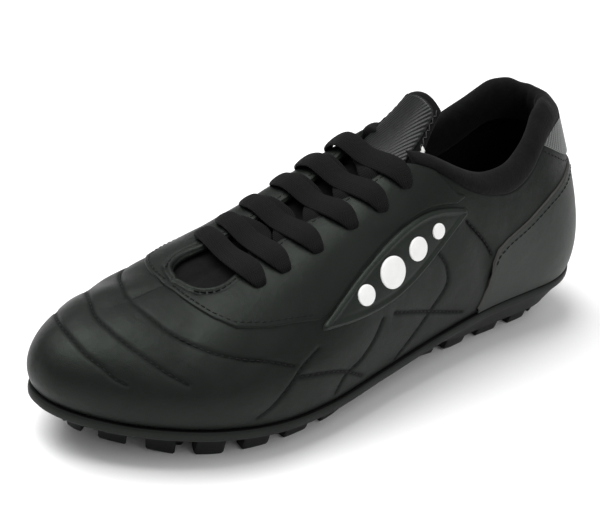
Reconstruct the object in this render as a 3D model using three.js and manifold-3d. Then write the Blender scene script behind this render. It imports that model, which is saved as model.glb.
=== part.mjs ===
// A left turf shoe with a black synthetic upper, millimetres, +Z up, +X towards the toe, +Y outwards.
// Every piece of the upper comes from one function of the last, so the pieces follow it together.
import * as THREE from 'three';
import { mergeVertices } from 'three/addons/utils/BufferGeometryUtils.js';
import Module from 'manifold-3d';

const wasm = await Module();
wasm.setup();

// Driving sizes of the last
const LAST_LENGTH = 285;
const BALL_WIDTH = 100;
const INSTEP_HEIGHT = 100;
const HEEL_HEIGHT = 27;

// Walls and clearances
const UPPER_WALL = 2.2;
const CLEARANCE = 0.3;
const OVERLAY_SEAT = 0.45;
const OVERLAY_THICKNESS = 1.1;
const BADGE_THICKNESS = 1.6;
const EMBLEM_THICKNESS = 0.8;
const COLLAR_PADDING = 7;
const COLLAR_RISE = 11;
const COLLAR_LINING_DEPTH = 12;
const TONGUE_THICKNESS = 4.5;
const LABEL_THICKNESS = 1;
const INSOLE_THICKNESS = 4;

// Sole
const WELT_MARGIN = 1.5;
const BAND_HEIGHT = 4.5;
const BAND_STEP = 1.2;
const LUG_DEPTH = 9;
const LUG_WIDTH = 8;
const LUG_GAP = 9;
const LUG_PITCH = 21;
const LUG_DRAFT = 3;
const STUD_RADIUS = 4.4;
const STUD_PITCH = 20;

// Lace
const LACE_WIDTH = 8;
const LACE_THICKNESS = 2.2;
const EYELET_DIAMETER = 4.4;

// Resolution of the faceted last, of the discs and of the lugs
const STATIONS = 36;
const ROWS = 10;
const DISC_SIDES = 14;
const LUG_STEPS = 2;

// Sections of the last from heel to toe.
// at: share of the length. centre, lateral, medial: plan of the joint line as shares of BALL_WIDTH.
// seat: joint line above the floor as a share of HEEL_HEIGHT. bulge: how far the side swells past it.
// belly: height of the swell above the joint line. shoulderLateral, shoulderMedial, shoulder: the place
// that pulls the profile in. ridge: height of the top line. Heights are shares of INSTEP_HEIGHT.
const LAST_SECTIONS = [
  { at: 0.00, centre: 0.00, lateral: 0.34, medial: 0.32, seat: 1.00, bulge: 0.09, belly: 0.30,
    shoulderLateral: 0.14, shoulderMedial: 0.14, shoulder: 1.08, ridge: 1.50 },
  { at: 0.12, centre: 0.00, lateral: 0.345, medial: 0.32, seat: 0.96, bulge: 0.065, belly: 0.30,
    shoulderLateral: 0.21, shoulderMedial: 0.21, shoulder: 1.10, ridge: 1.42 },
  { at: 0.25, centre: 0.00, lateral: 0.35, medial: 0.305, seat: 0.89, bulge: 0.05, belly: 0.30,
    shoulderLateral: 0.31, shoulderMedial: 0.30, shoulder: 1.12, ridge: 1.24 },
  { at: 0.38, centre: 0.00, lateral: 0.39, medial: 0.295, seat: 0.78, bulge: 0.035, belly: 0.32,
    shoulderLateral: 0.32, shoulderMedial: 0.31, shoulder: 1.13, ridge: 1.04 },
  { at: 0.50, centre: 0.00, lateral: 0.445, medial: 0.32, seat: 0.685, bulge: 0.04, belly: 0.32,
    shoulderLateral: 0.35, shoulderMedial: 0.38, shoulder: 0.985, ridge: 0.88 },
  { at: 0.62, centre: -0.01, lateral: 0.51, medial: 0.39, seat: 0.605, bulge: 0.06, belly: 0.30,
    shoulderLateral: 0.33, shoulderMedial: 0.34, shoulder: 0.825, ridge: 0.775 },
  { at: 0.70, centre: -0.02, lateral: 0.53, medial: 0.43, seat: 0.605, bulge: 0.07, belly: 0.27,
    shoulderLateral: 0.35, shoulderMedial: 0.30, shoulder: 0.725, ridge: 0.71 },
  { at: 0.78, centre: -0.03, lateral: 0.51, medial: 0.43, seat: 0.65, bulge: 0.08, belly: 0.25,
    shoulderLateral: 0.355, shoulderMedial: 0.26, shoulder: 0.65, ridge: 0.655 },
  { at: 0.86, centre: -0.04, lateral: 0.465, medial: 0.39, seat: 0.725, bulge: 0.08, belly: 0.23,
    shoulderLateral: 0.31, shoulderMedial: 0.245, shoulder: 0.59, ridge: 0.61 },
  { at: 0.94, centre: -0.05, lateral: 0.395, medial: 0.32, seat: 0.815, bulge: 0.07, belly: 0.20,
    shoulderLateral: 0.27, shoulderMedial: 0.24, shoulder: 0.58, ridge: 0.58 },
  { at: 1.00, centre: -0.05, lateral: 0.32, medial: 0.25, seat: 0.925, bulge: 0.06, belly: 0.17,
    shoulderLateral: 0.23, shoulderMedial: 0.21, shoulder: 0.55, ridge: 0.56 },
];

// Where each of the four guide lines of the last starts at the heel and ends at the toe, shares of length
const GUIDES = [
  { heel: 0.000, toe: 1.000 },
  { heel: -0.021, toe: 1.032 },
  { heel: 0.074, toe: 0.975 },
  { heel: 0.105, toe: 0.863 },
];

// Round ends of the plan: share of the length that each takes, and the fullness of its curve
const HEEL_END = { reach: 0.13, fullness: 2.4 };
const TOE_END = { reach: 0.28, fullness: 2.4 };

// Cut edge of the upper as a share of the girth from the joint line to the ridge
const CUT_EDGE = [
  { at: 0.000, cut: 0.630 },
  { at: 0.060, cut: 0.625 },
  { at: 0.089, cut: 0.603 },
  { at: 0.114, cut: 0.569 },
  { at: 0.148, cut: 0.520 },
  { at: 0.189, cut: 0.492 },
  { at: 0.247, cut: 0.515 },
  { at: 0.303, cut: 0.585 },
  { at: 0.359, cut: 0.715 },
  { at: 0.409, cut: 0.835 },
  { at: 0.450, cut: 0.875 },
  { at: 0.500, cut: 0.895 },
  { at: 0.600, cut: 0.905 },
  { at: 0.680, cut: 0.900 },
  { at: 0.750, cut: 0.875 },
  { at: 0.800, cut: 0.850 },
  { at: 0.835, cut: 0.890 },
  { at: 0.861, cut: 0.955 },
  { at: 0.880, cut: 1.000 },
];

// Lower edge of the eyestay overlay that frames the throat
const EYESTAY_EDGE = [
  { at: 0.350, low: 0.520 },
  { at: 0.400, low: 0.520 },
  { at: 0.633, low: 0.440 },
  { at: 0.678, low: 0.495 },
  { at: 0.721, low: 0.534 },
  { at: 0.776, low: 0.600 },
  { at: 0.809, low: 0.686 },
  { at: 0.844, low: 0.797 },
  { at: 0.885, low: 0.915 },
  { at: 0.918, low: 1.000 },
];

// Upper edge of the heel counter
const COUNTER_EDGE = [
  { at: 0.000, high: 0.470 },
  { at: 0.031, high: 0.475 },
  { at: 0.113, high: 0.415 },
  { at: 0.169, high: 0.360 },
  { at: 0.221, high: 0.320 },
  { at: 0.243, high: 0.290 },
  { at: 0.255, high: 0.230 },
  { at: 0.264, high: 0.140 },
  { at: 0.275, high: 0.020 },
];

// Seam under the heel tab
const HEEL_TAB_EDGE = [
  { at: 0.000, low: 0.490 },
  { at: 0.040, low: 0.510 },
  { at: 0.100, low: 0.590 },
];

// Eyelets up the throat: place along the shoe and share of the girth
const EYELETS = [
  { at: 0.721, girth: 0.745 },
  { at: 0.671, girth: 0.740 },
  { at: 0.606, girth: 0.727 },
  { at: 0.535, girth: 0.730 },
  { at: 0.475, girth: 0.710 },
  { at: 0.419, girth: 0.722 },
];

// Side badge: a plain pointed plate, from its rear tip to its front tip
const BADGE = { rear: 0.310, front: 0.630, rearGirth: 0.493, frontGirth: 0.396, tip: 0.012, swell: 0.11 };

// Raised discs on the badge, graded in size: place along the badge and diameter
const EMBLEM_DISCS = [
  { place: 0.22, diameter: 7 },
  { place: 0.37, diameter: 10.5 },
  { place: 0.55, diameter: 14 },
  { place: 0.73, diameter: 9 },
];

// Tongue: its reach along the shoe and its flat free end, sizes as shares of the last
const TONGUE = { tip: 0.905, freeFrom: 0.50, freeTo: 0.43, top: 0.30 };
const TONGUE_FOOT = { along: 0.484, height: 0.87, halfWidth: 0.145, crown: 0.10 };
const TONGUE_TOP = { along: 0.342, height: 1.205, halfWidth: 0.102, crown: 0.04 };
const TONGUE_CURL = 1.4;
const TONGUE_LEAN = { along: 0.66, up: 0.75 };
const TONGUE_EDGE = [
  { at: 0.300, low: 0.76 },
  { at: 0.500, low: 0.76 },
  { at: 0.700, low: 0.74 },
  { at: 0.905, low: 0.80 },
];

// Height of the lug feet above the floor as a share of HEEL_HEIGHT: bevel, heel, arch, ball, toe
const FLOOR_LINE = [
  { at: 0.00, rise: 0.16 },
  { at: 0.06, rise: 0.00 },
  { at: 0.28, rise: 0.00 },
  { at: 0.36, rise: 0.16 },
  { at: 0.50, rise: 0.16 },
  { at: 0.58, rise: 0.00 },
  { at: 0.86, rise: 0.00 },
  { at: 1.00, rise: 0.22 },
];

// How far the sole's side draws in under its band, as a share of BALL_WIDTH
const UNDERCUT = [
  { at: 0.00, inset: 0.080 },
  { at: 0.30, inset: 0.070 },
  { at: 0.50, inset: 0.050 },
  { at: 0.62, inset: 0.035 },
  { at: 0.80, inset: 0.040 },
  { at: 0.90, inset: 0.075 },
  { at: 1.00, inset: 0.090 },
];

// Smooth value of a named column at a place, through the rows of a table
function column(table, name, place) {
  const count = table.length;
  const last = count - 2;
  let row = 0;
  while (row < last && place > table[row + 1].at) row += 1;
  const slope = (index) => {
    const before = Math.max(index - 1, 0);
    const after = Math.min(index + 1, count - 1);
    const here = table[index];
    if (before === index) return (table[after][name] - here[name]) / (table[after].at - here.at);
    if (after === index) return (here[name] - table[before][name]) / (here.at - table[before].at);
    const back = here.at - table[before].at;
    const ahead = table[after].at - here.at;
    const backSlope = (here[name] - table[before][name]) / back;
    const aheadSlope = (table[after][name] - here[name]) / ahead;
    return (backSlope * ahead + aheadSlope * back) / (back + ahead);
  };
  const from = table[row];
  const to = table[row + 1];
  const span = to.at - from.at;
  const s = THREE.MathUtils.clamp((place - from.at) / span, 0, 1);
  const a = (1 + 2 * s) * (1 - s) * (1 - s);
  const b = s * (1 - s) * (1 - s);
  const c = s * s * (3 - 2 * s);
  const d = s * s * (s - 1);
  return a * from[name] + b * span * slope(row) + c * to[name] + d * span * slope(row + 1);
}

// Straight-line value of a named column, for edges with corners
function linear(table, name, place) {
  let row = 0;
  while (row < table.length - 2 && place > table[row + 1].at) row += 1;
  const from = table[row];
  const to = table[row + 1];
  const s = THREE.MathUtils.clamp((place - from.at) / (to.at - from.at), 0, 1);
  return from[name] + (to[name] - from[name]) * s;
}

// How far the plan has rounded in at a place, from 0 at the very ends to 1 in the middle
function endRounding(place) {
  const heel = THREE.MathUtils.clamp(1 - place / HEEL_END.reach, 0, 1);
  const toe = THREE.MathUtils.clamp((place - 1 + TOE_END.reach) / TOE_END.reach, 0, 1);
  const heelFactor = (1 - heel ** HEEL_END.fullness) ** (1 / HEEL_END.fullness);
  const toeFactor = (1 - toe ** TOE_END.fullness) ** (1 / TOE_END.fullness);
  return heelFactor * toeFactor;
}

// Point on the last. side is 1 outwards and -1 inwards, girth runs from the joint line to the ridge.
function lastPoint(place, side, girth) {
  const round = endRounding(place);
  const value = (name) => column(LAST_SECTIONS, name, place);
  const centre = value('centre') * BALL_WIDTH;
  const half = value(side > 0 ? 'lateral' : 'medial') * BALL_WIDTH;
  const swell = value('bulge') * BALL_WIDTH;
  const shoulder = value(side > 0 ? 'shoulderLateral' : 'shoulderMedial') * BALL_WIDTH;
  const seat = value('seat') * HEEL_HEIGHT + CLEARANCE;
  const reach = [half * round, (half + swell) * round, shoulder * round, 0];
  const heights = [
    seat,
    seat + value('belly') * INSTEP_HEIGHT,
    value('shoulder') * INSTEP_HEIGHT,
    value('ridge') * INSTEP_HEIGHT,
  ];
  const rest = 1 - girth;
  const weights = [rest ** 3, 3 * rest * rest * girth, 3 * rest * girth * girth, girth ** 3];
  const point = new THREE.Vector3(0, centre, 0);
  for (let i = 0; i < weights.length; i += 1) {
    const along = GUIDES[i].heel + (GUIDES[i].toe - GUIDES[i].heel) * place;
    point.x += weights[i] * along * LAST_LENGTH;
    point.y += weights[i] * side * reach[i];
    point.z += weights[i] * heights[i];
  }
  return point;
}

// Stations run once round the shoe: heel, outer side, toe, inner side. Spacing is finest at the ends.
const LOOP = 2 * STATIONS;
const placeAt = (turn) => (1 - Math.cos(Math.PI * turn)) / 2;

function loopPoint(turn, girth) {
  const wrapped = ((turn % 2) + 2) % 2;
  const inner = wrapped > 1;
  return lastPoint(placeAt(inner ? 2 - wrapped : wrapped), inner ? -1 : 1, girth);
}

function loopNormal(turn, girth) {
  const step = 0.004;
  const along = loopPoint(turn + step, girth).sub(loopPoint(turn - step, girth));
  const low = Math.max(girth - step, 0);
  const high = Math.min(girth + step, 1);
  const up = loopPoint(turn, high).sub(loopPoint(turn, low));
  return up.cross(along).normalize();
}

// The faceted last: a point and a normal for each station and row
const LAST_GRID = [];
for (let station = 0; station < LOOP; station += 1) {
  const turn = station / STATIONS;
  const rows = [];
  for (let row = 0; row <= ROWS; row += 1) {
    const girth = row / ROWS;
    rows.push({ point: loopPoint(turn, girth), normal: loopNormal(turn, girth) });
  }
  LAST_GRID.push(rows);
}
for (let station = 1; station < STATIONS; station += 1) {
  const outer = LAST_GRID[station][ROWS];
  const inner = LAST_GRID[LOOP - station][ROWS];
  const shared = outer.normal.clone().add(inner.normal).normalize();
  outer.normal.copy(shared);
  inner.normal.copy(shared);
  inner.point.copy(outer.point);
}

const wrapStation = (station) => ((station % LOOP) + LOOP) % LOOP;
const stationPlace = (station) => {
  const wrapped = wrapStation(station);
  return placeAt((wrapped <= STATIONS ? wrapped : LOOP - wrapped) / STATIONS);
};

// Point a distance off the faceted last, on the line of a station
function offLast(station, girth, distance) {
  const rows = LAST_GRID[wrapStation(station)];
  const scaled = THREE.MathUtils.clamp(girth, 0, 1) * ROWS;
  const row = Math.min(Math.floor(scaled), ROWS - 1);
  const s = scaled - row;
  const low = rows[row].point.clone().addScaledVector(rows[row].normal, distance);
  const high = rows[row + 1].point.clone().addScaledVector(rows[row + 1].normal, distance);
  return low.lerp(high, s);
}

// Point a distance off the smooth last, anywhere on one side
function offSmooth(place, side, girth, distance) {
  const turn = Math.acos(1 - 2 * THREE.MathUtils.clamp(place, 0, 1)) / Math.PI;
  const signed = side > 0 ? turn : 2 - turn;
  return loopPoint(signed, girth).addScaledVector(loopNormal(signed, girth), distance);
}

function normalSmooth(place, side, girth) {
  const turn = Math.acos(1 - 2 * THREE.MathUtils.clamp(place, 0, 1)) / Math.PI;
  return loopNormal(side > 0 ? turn : 2 - turn, girth);
}

// Collects triangles and closes them into one merged, outward-facing geometry
class Faces {
  constructor() {
    this.corners = [];
  }

  triangle(a, b, c) {
    if (a.distanceTo(b) < 1e-6 || b.distanceTo(c) < 1e-6 || c.distanceTo(a) < 1e-6) return;
    this.corners.push(a, b, c);
  }

  quad(a, b, c, d) {
    this.triangle(a, b, c);
    this.triangle(a, c, d);
  }

  geometry() {
    const positions = this.corners.flatMap((corner) => [corner.x, corner.y, corner.z]);
    const soup = new THREE.BufferGeometry();
    soup.setAttribute('position', new THREE.Float32BufferAttribute(positions, 3));
    const merged = mergeVertices(soup, 1e-4);
    return signedVolume(merged) < 0 ? flipped(merged) : merged;
  }
}

function signedVolume(geometry) {
  const index = geometry.index;
  const position = geometry.attributes.position;
  const corner = [new THREE.Vector3(), new THREE.Vector3(), new THREE.Vector3()];
  let volume = 0;
  for (let i = 0; i < index.count; i += 3) {
    corner.forEach((vector, j) => vector.fromBufferAttribute(position, index.getX(i + j)));
    volume += corner[0].dot(corner[1].clone().cross(corner[2])) / 6;
  }
  return volume;
}

function flipped(geometry) {
  const index = geometry.index;
  for (let i = 0; i < index.count; i += 3) {
    const second = index.getX(i + 1);
    index.setX(i + 1, index.getX(i + 2));
    index.setX(i + 2, second);
  }
  return geometry;
}

// Solid for joining and cutting, from a closed geometry
function solid(geometry) {
  const bare = new THREE.BufferGeometry();
  bare.setAttribute('position', geometry.attributes.position);
  if (geometry.index) bare.setIndex(geometry.index);
  const merged = mergeVertices(bare, 1e-4);
  return new wasm.Manifold(new wasm.Mesh({
    numProp: 3,
    vertProperties: new Float32Array(merged.attributes.position.array),
    triVerts: new Uint32Array(merged.index.array),
  }));
}

function geometryOf(body) {
  const mesh = body.getMesh();
  const geometry = new THREE.BufferGeometry();
  geometry.setAttribute('position', new THREE.Float32BufferAttribute(mesh.vertProperties, 3));
  geometry.setIndex(Array.from(mesh.triVerts));
  return geometry;
}

const joined = (geometries) => geometryOf(geometries.map(solid).reduce((sum, next) => sum.add(next)));

function cut(geometry, tools) {
  return geometryOf(tools.map(solid).reduce((rest, tool) => rest.subtract(tool), solid(geometry)));
}

const shared = (geometry, tool) => geometryOf(solid(geometry).intersect(solid(tool)));

// Rows of a station between two girths: the edge, the rows of the last in between, and the other edge
function stationGirths(low, high) {
  const nearest = 0.15 / ROWS;
  const girths = [low];
  for (let row = 0; row <= ROWS; row += 1) {
    const girth = row / ROWS;
    if (girth > low + nearest && girth < high - nearest) girths.push(girth);
  }
  if (high > low) girths.push(high);
  return girths;
}

// Joins two columns of points whose heights differ, always stepping on the lower side
function zip(faces, left, right, place) {
  let i = 0;
  let j = 0;
  while (i < left.length - 1 || j < right.length - 1) {
    const canLeft = i < left.length - 1;
    const canRight = j < right.length - 1;
    const stepLeft = canLeft && (!canRight || left[i + 1] <= right[j + 1]);
    if (stepLeft) {
      faces.triangle(place(0, left[i]), place(1, right[j]), place(0, left[i + 1]));
      i += 1;
    } else {
      faces.triangle(place(0, left[i]), place(1, right[j]), place(1, right[j + 1]));
      j += 1;
    }
  }
}

// A layer of the upper: all that lies between two girths and two distances off the last.
// from and to are stations, edges gives the low and high girth at a place. A second span may be added.
function layer(from, to, edges, inside, outside, second = null) {
  const faces = new Faces();
  addSpan(faces, from, to, edges, inside, outside);
  if (second) addSpan(faces, second[0], second[1], edges, inside, outside);
  return faces.geometry();
}

function addSpan(faces, from, to, edges, inside, outside) {
  const closedLoop = to - from >= LOOP;
  const girthsOf = (station) => stationGirths(...edges(stationPlace(station)));
  for (let station = from; station < to; station += 1) {
    const left = girthsOf(station);
    const right = girthsOf(station + 1);
    const outer = (side, girth) => offLast(station + side, girth, outside);
    const inner = (side, girth) => offLast(station + side, girth, inside);
    zip(faces, left, right, outer);
    const reversed = new Faces();
    zip(reversed, left, right, inner);
    for (let i = 0; i < reversed.corners.length; i += 3) {
      faces.triangle(reversed.corners[i], reversed.corners[i + 2], reversed.corners[i + 1]);
    }
    const lowLeft = left[0];
    const lowRight = right[0];
    if (lowLeft < 1 || lowRight < 1) {
      faces.quad(inner(0, lowLeft), inner(1, lowRight), outer(1, lowRight), outer(0, lowLeft));
    }
    const highLeft = left[left.length - 1];
    const highRight = right[right.length - 1];
    if (highLeft < 1 || highRight < 1) {
      faces.quad(outer(0, highLeft), outer(1, highRight), inner(1, highRight), inner(0, highLeft));
    }
  }
  if (!closedLoop) {
    for (const [station, start] of [[from, true], [to, false]]) {
      const girths = girthsOf(station);
      for (let i = 0; i + 1 < girths.length; i += 1) {
        const a = offLast(station, girths[i], outside);
        const b = offLast(station, girths[i + 1], outside);
        const c = offLast(station, girths[i + 1], inside);
        const d = offLast(station, girths[i], inside);
        if (start) faces.quad(a, b, c, d);
        else faces.quad(d, c, b, a);
      }
    }
  }
}

// Cut edge of the upper, exactly on the ridge in front of the throat
const THROAT_FRONT = CUT_EDGE[CUT_EDGE.length - 1].at;
const cutEdge = (place) => (place >= THROAT_FRONT ? 1 : Math.min(column(CUT_EDGE, 'cut', place), 1));

// Stations whose place lies between two shares of the length, on one side
function stationsBetween(low, high) {
  const inside = [];
  for (let station = 0; station <= STATIONS; station += 1) {
    const place = stationPlace(station);
    if (place >= low && place <= high) inside.push(station);
  }
  return inside;
}

// Straight punches through the upper at each eyelet
function eyeletPunches() {
  const punches = [];
  for (const side of [1, -1]) {
    for (const eyelet of EYELETS) {
      const depth = 6 * (UPPER_WALL + OVERLAY_THICKNESS);
      const punch = new THREE.CylinderGeometry(EYELET_DIAMETER / 2, EYELET_DIAMETER / 2, depth, 8);
      const normal = normalSmooth(eyelet.at, side, eyelet.girth);
      const turn = new THREE.Quaternion().setFromUnitVectors(new THREE.Vector3(0, 1, 0), normal);
      punch.applyQuaternion(turn);
      const centre = offSmooth(eyelet.at, side, eyelet.girth, 0);
      punch.translate(centre.x, centre.y, centre.z);
      punches.push(punch);
    }
  }
  return punches;
}

function upper() {
  const shell = layer(0, LOOP, (place) => [0, cutEdge(place)], -UPPER_WALL, 0);
  return cut(shell, eyeletPunches());
}

// Badge outline: low and high girth at a place between its tips
function badgeEdges(place) {
  const s = THREE.MathUtils.clamp((place - BADGE.rear) / (BADGE.front - BADGE.rear), 0, 1);
  const middle = BADGE.rearGirth + (BADGE.frontGirth - BADGE.rearGirth) * s;
  const half = BADGE.tip + BADGE.swell * Math.sin(Math.PI * s);
  return [middle - half, middle + half];
}

// Gap between neighbouring overlays, as a share of the girth
const SEAM_GAP = CLEARANCE / INSTEP_HEIGHT;

// Stations of one side between two shares of the length, first and last, in the loop's direction
function stationSpan(low, high, side) {
  const stations = stationsBetween(low, high);
  const first = stations[0];
  const last = stations[stations.length - 1];
  return side > 0 ? [first, last] : [LOOP - last, LOOP - first];
}

// Overlay that frames the throat, with its two sides meeting in front of it
function eyestay() {
  const end = EYESTAY_EDGE[EYESTAY_EDGE.length - 1].at;
  const edges = (place) => {
    if (place > end) return [1, 1];
    let low = linear(EYESTAY_EDGE, 'low', place);
    const onBadge = place > BADGE.rear && place < BADGE.front;
    if (onBadge) low = Math.max(low, badgeEdges(place)[1] + 2 * SEAM_GAP);
    return [low, Math.max(cutEdge(place), low + 2 * SEAM_GAP)];
  };
  const first = stationsBetween(EYESTAY_EDGE[0].at, 1)[0];
  const last = stationsBetween(0, end).pop() + 1;
  const outside = OVERLAY_SEAT + OVERLAY_THICKNESS;
  const both = layer(first, last, edges, OVERLAY_SEAT, outside, [LOOP - last, LOOP - first]);
  return cut(both, eyeletPunches());
}

function heelCounter() {
  const end = COUNTER_EDGE[COUNTER_EDGE.length - 1].at;
  const foot = 2 * (CLEARANCE + OVERLAY_THICKNESS) / INSTEP_HEIGHT;
  const edges = (place) => [foot, Math.max(linear(COUNTER_EDGE, 'high', place), foot + SEAM_GAP)];
  const last = stationsBetween(0, end).pop();
  return layer(-last, last, edges, OVERLAY_SEAT, OVERLAY_SEAT + OVERLAY_THICKNESS);
}

function heelTab() {
  const end = HEEL_TAB_EDGE[HEEL_TAB_EDGE.length - 1].at;
  const edges = (place) => {
    const low = linear(HEEL_TAB_EDGE, 'low', place);
    return [low, Math.max(cutEdge(place) - SEAM_GAP, low + SEAM_GAP)];
  };
  const last = stationsBetween(0, end).pop();
  return layer(-last, last, edges, OVERLAY_SEAT, OVERLAY_SEAT + OVERLAY_THICKNESS);
}

function badge(side) {
  const [from, to] = stationSpan(BADGE.rear, BADGE.front, side);
  return layer(from, to, badgeEdges, OVERLAY_SEAT, OVERLAY_SEAT + BADGE_THICKNESS);
}

// One raised disc on the badge: a round punch out of a layer that lies over the whole side
function emblemDisc(side, disc) {
  const place = BADGE.rear + (BADGE.front - BADGE.rear) * disc.place;
  const [low, high] = badgeEdges(place);
  const girth = (low + high) / 2;
  const inside = OVERLAY_SEAT + BADGE_THICKNESS + CLEARANCE;
  const [from, to] = stationSpan(BADGE.rear - 0.05, BADGE.front + 0.05, side);
  const sheet = layer(from, to, () => [0.2, 0.7], inside, inside + EMBLEM_THICKNESS);
  const radius = disc.diameter / 2;
  const punch = new THREE.CylinderGeometry(radius, radius, 4 * disc.diameter, DISC_SIDES);
  const normal = normalSmooth(place, side, girth);
  punch.applyQuaternion(new THREE.Quaternion().setFromUnitVectors(new THREE.Vector3(0, 1, 0), normal));
  const centre = offSmooth(place, side, girth, 0);
  punch.translate(centre.x, centre.y, centre.z);
  return shared(sheet, punch);
}

// Padded collar: a hook-shaped section that sits on the cut edge and lines the inside below it.
// rise is a share of COLLAR_RISE above the edge, depth a share of COLLAR_PADDING inwards.
const COLLAR_SECTION = [
  { rise: 0.05, depth: -0.08 },
  { rise: 0.35, depth: -0.20 },
  { rise: 0.75, depth: -0.08 },
  { rise: 1.00, depth: 0.40 },
  { rise: 0.80, depth: 0.92 },
  { rise: 0.30, depth: 1.12 },
  { rise: -0.50, depth: 1.00 },
];
const COLLAR_END = 0.385;
const COLLAR_THINNING = 0.6;

function collar() {
  const faces = new Faces();
  const last = stationsBetween(0, COLLAR_END).pop();
  const sectionAt = (station) => {
    const edge = cutEdge(stationPlace(station));
    const step = 0.02;
    const millimetre = step / offLast(station, edge, 0).distanceTo(offLast(station, edge + step, 0));
    const place = (rise, depth) => offLast(station, edge + rise * millimetre, -depth);
    const fade = 1 - COLLAR_THINNING * (stationPlace(station) / COLLAR_END) ** 3;
    const ring = COLLAR_SECTION.map((row) => place(
      row.rise * COLLAR_RISE * (0.75 + 0.25 * fade),
      row.depth * COLLAR_PADDING * fade,
    ));
    const backing = UPPER_WALL + CLEARANCE;
    ring.push(place(-COLLAR_LINING_DEPTH, backing + 1.2));
    ring.push(place(-COLLAR_LINING_DEPTH, backing));
    ring.push(place(-2 * CLEARANCE, backing));
    ring.push(place(CLEARANCE, backing));
    return ring;
  };
  let before = sectionAt(-last);
  const start = before;
  for (let station = 1 - last; station <= last; station += 1) {
    const ring = sectionAt(station);
    for (let i = 0; i < ring.length; i += 1) {
      const next = (i + 1) % ring.length;
      faces.quad(before[i], ring[i], ring[next], before[next]);
    }
    before = ring;
  }
  capRing(faces, start, false);
  capRing(faces, before, true);
  return faces.geometry();
}

// Closes a section that bends like a hook: a strip between its two long sides
function capRing(faces, ring, ahead) {
  const contour = flattened(ring);
  const triangles = THREE.ShapeUtils.triangulateShape(contour.points, []);
  for (const [a, b, c] of triangles) {
    if (ahead === contour.clockwise) faces.triangle(ring[a], ring[b], ring[c]);
    else faces.triangle(ring[a], ring[c], ring[b]);
  }
}

// A ring of points laid into its own best plane
function flattened(ring) {
  const centre = ring.reduce((sum, point) => sum.add(point), new THREE.Vector3()).divideScalar(ring.length);
  const normal = new THREE.Vector3();
  ring.forEach((point, i) => {
    const next = ring[(i + 1) % ring.length];
    normal.add(point.clone().sub(centre).cross(next.clone().sub(centre)));
  });
  normal.normalize();
  const across = ring[1].clone().sub(ring[0]).normalize();
  const along = normal.clone().cross(across).normalize();
  const points = ring.map((point) => {
    const offset = point.clone().sub(centre);
    return new THREE.Vector2(offset.dot(across), offset.dot(along));
  });
  return { points, clockwise: THREE.ShapeUtils.isClockWise(points) };
}

// Tongue: under the throat it follows the last, above it a flatter free end leans on its own line
function tonguePoint(place, across, depth) {
  const side = across >= 0 ? 1 : -1;
  const low = column(TONGUE_EDGE, 'low', place);
  const girth = 1 - (1 - low) * Math.abs(across);
  const covered = offSmooth(place, side, girth, -(UPPER_WALL + 3 * CLEARANCE + depth));
  const s = (TONGUE.freeFrom - place) / (TONGUE.freeFrom - TONGUE.top);
  if (s <= 0) return covered;
  const blend = THREE.MathUtils.smoothstep(place, TONGUE.freeTo, TONGUE.freeFrom);
  const mix = (name) => TONGUE_FOOT[name] + (TONGUE_TOP[name] - TONGUE_FOOT[name]) * s;
  const lean = new THREE.Vector3(TONGUE_LEAN.along, 0, TONGUE_LEAN.up);
  const height = TONGUE_FOOT.height + (TONGUE_TOP.height - TONGUE_FOOT.height) * s ** TONGUE_CURL;
  const free = new THREE.Vector3(
    mix('along') * LAST_LENGTH,
    across * mix('halfWidth') * BALL_WIDTH,
    (height - mix('crown') * across * across) * INSTEP_HEIGHT,
  ).addScaledVector(lean, -depth);
  return free.lerp(covered, blend);
}

function tongue() {
  const faces = new Faces();
  const lengths = 22;
  const widths = 8;
  const placeOf = (i) => TONGUE.top + (TONGUE.tip - TONGUE.top) * (i / lengths);
  const acrossOf = (j) => (2 * j) / widths - 1;
  const thin = (i, j) => {
    const edge = Math.abs(acrossOf(j)) ** 4;
    const end = i === 0 || i === lengths ? 0.35 : 0;
    return TONGUE_THICKNESS * (1 - 0.5 * edge) * (1 - end);
  };
  const top = (i, j) => tonguePoint(placeOf(i), acrossOf(j), 0);
  const under = (i, j) => tonguePoint(placeOf(i), acrossOf(j), thin(i, j));
  for (let i = 0; i < lengths; i += 1) {
    for (let j = 0; j < widths; j += 1) {
      faces.quad(top(i, j), top(i + 1, j), top(i + 1, j + 1), top(i, j + 1));
      faces.quad(under(i, j), under(i, j + 1), under(i + 1, j + 1), under(i + 1, j));
    }
    faces.quad(top(i, 0), under(i, 0), under(i + 1, 0), top(i + 1, 0));
    faces.quad(top(i, widths), top(i + 1, widths), under(i + 1, widths), under(i, widths));
  }
  for (let j = 0; j < widths; j += 1) {
    faces.quad(top(0, j), top(0, j + 1), under(0, j + 1), under(0, j));
    faces.quad(top(lengths, j), under(lengths, j), under(lengths, j + 1), top(lengths, j + 1));
  }
  return faces.geometry();
}

// Glossy plate on the tongue's free end
const LABEL = { low: 0.398, high: 0.308, half: 0.84 };

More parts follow.
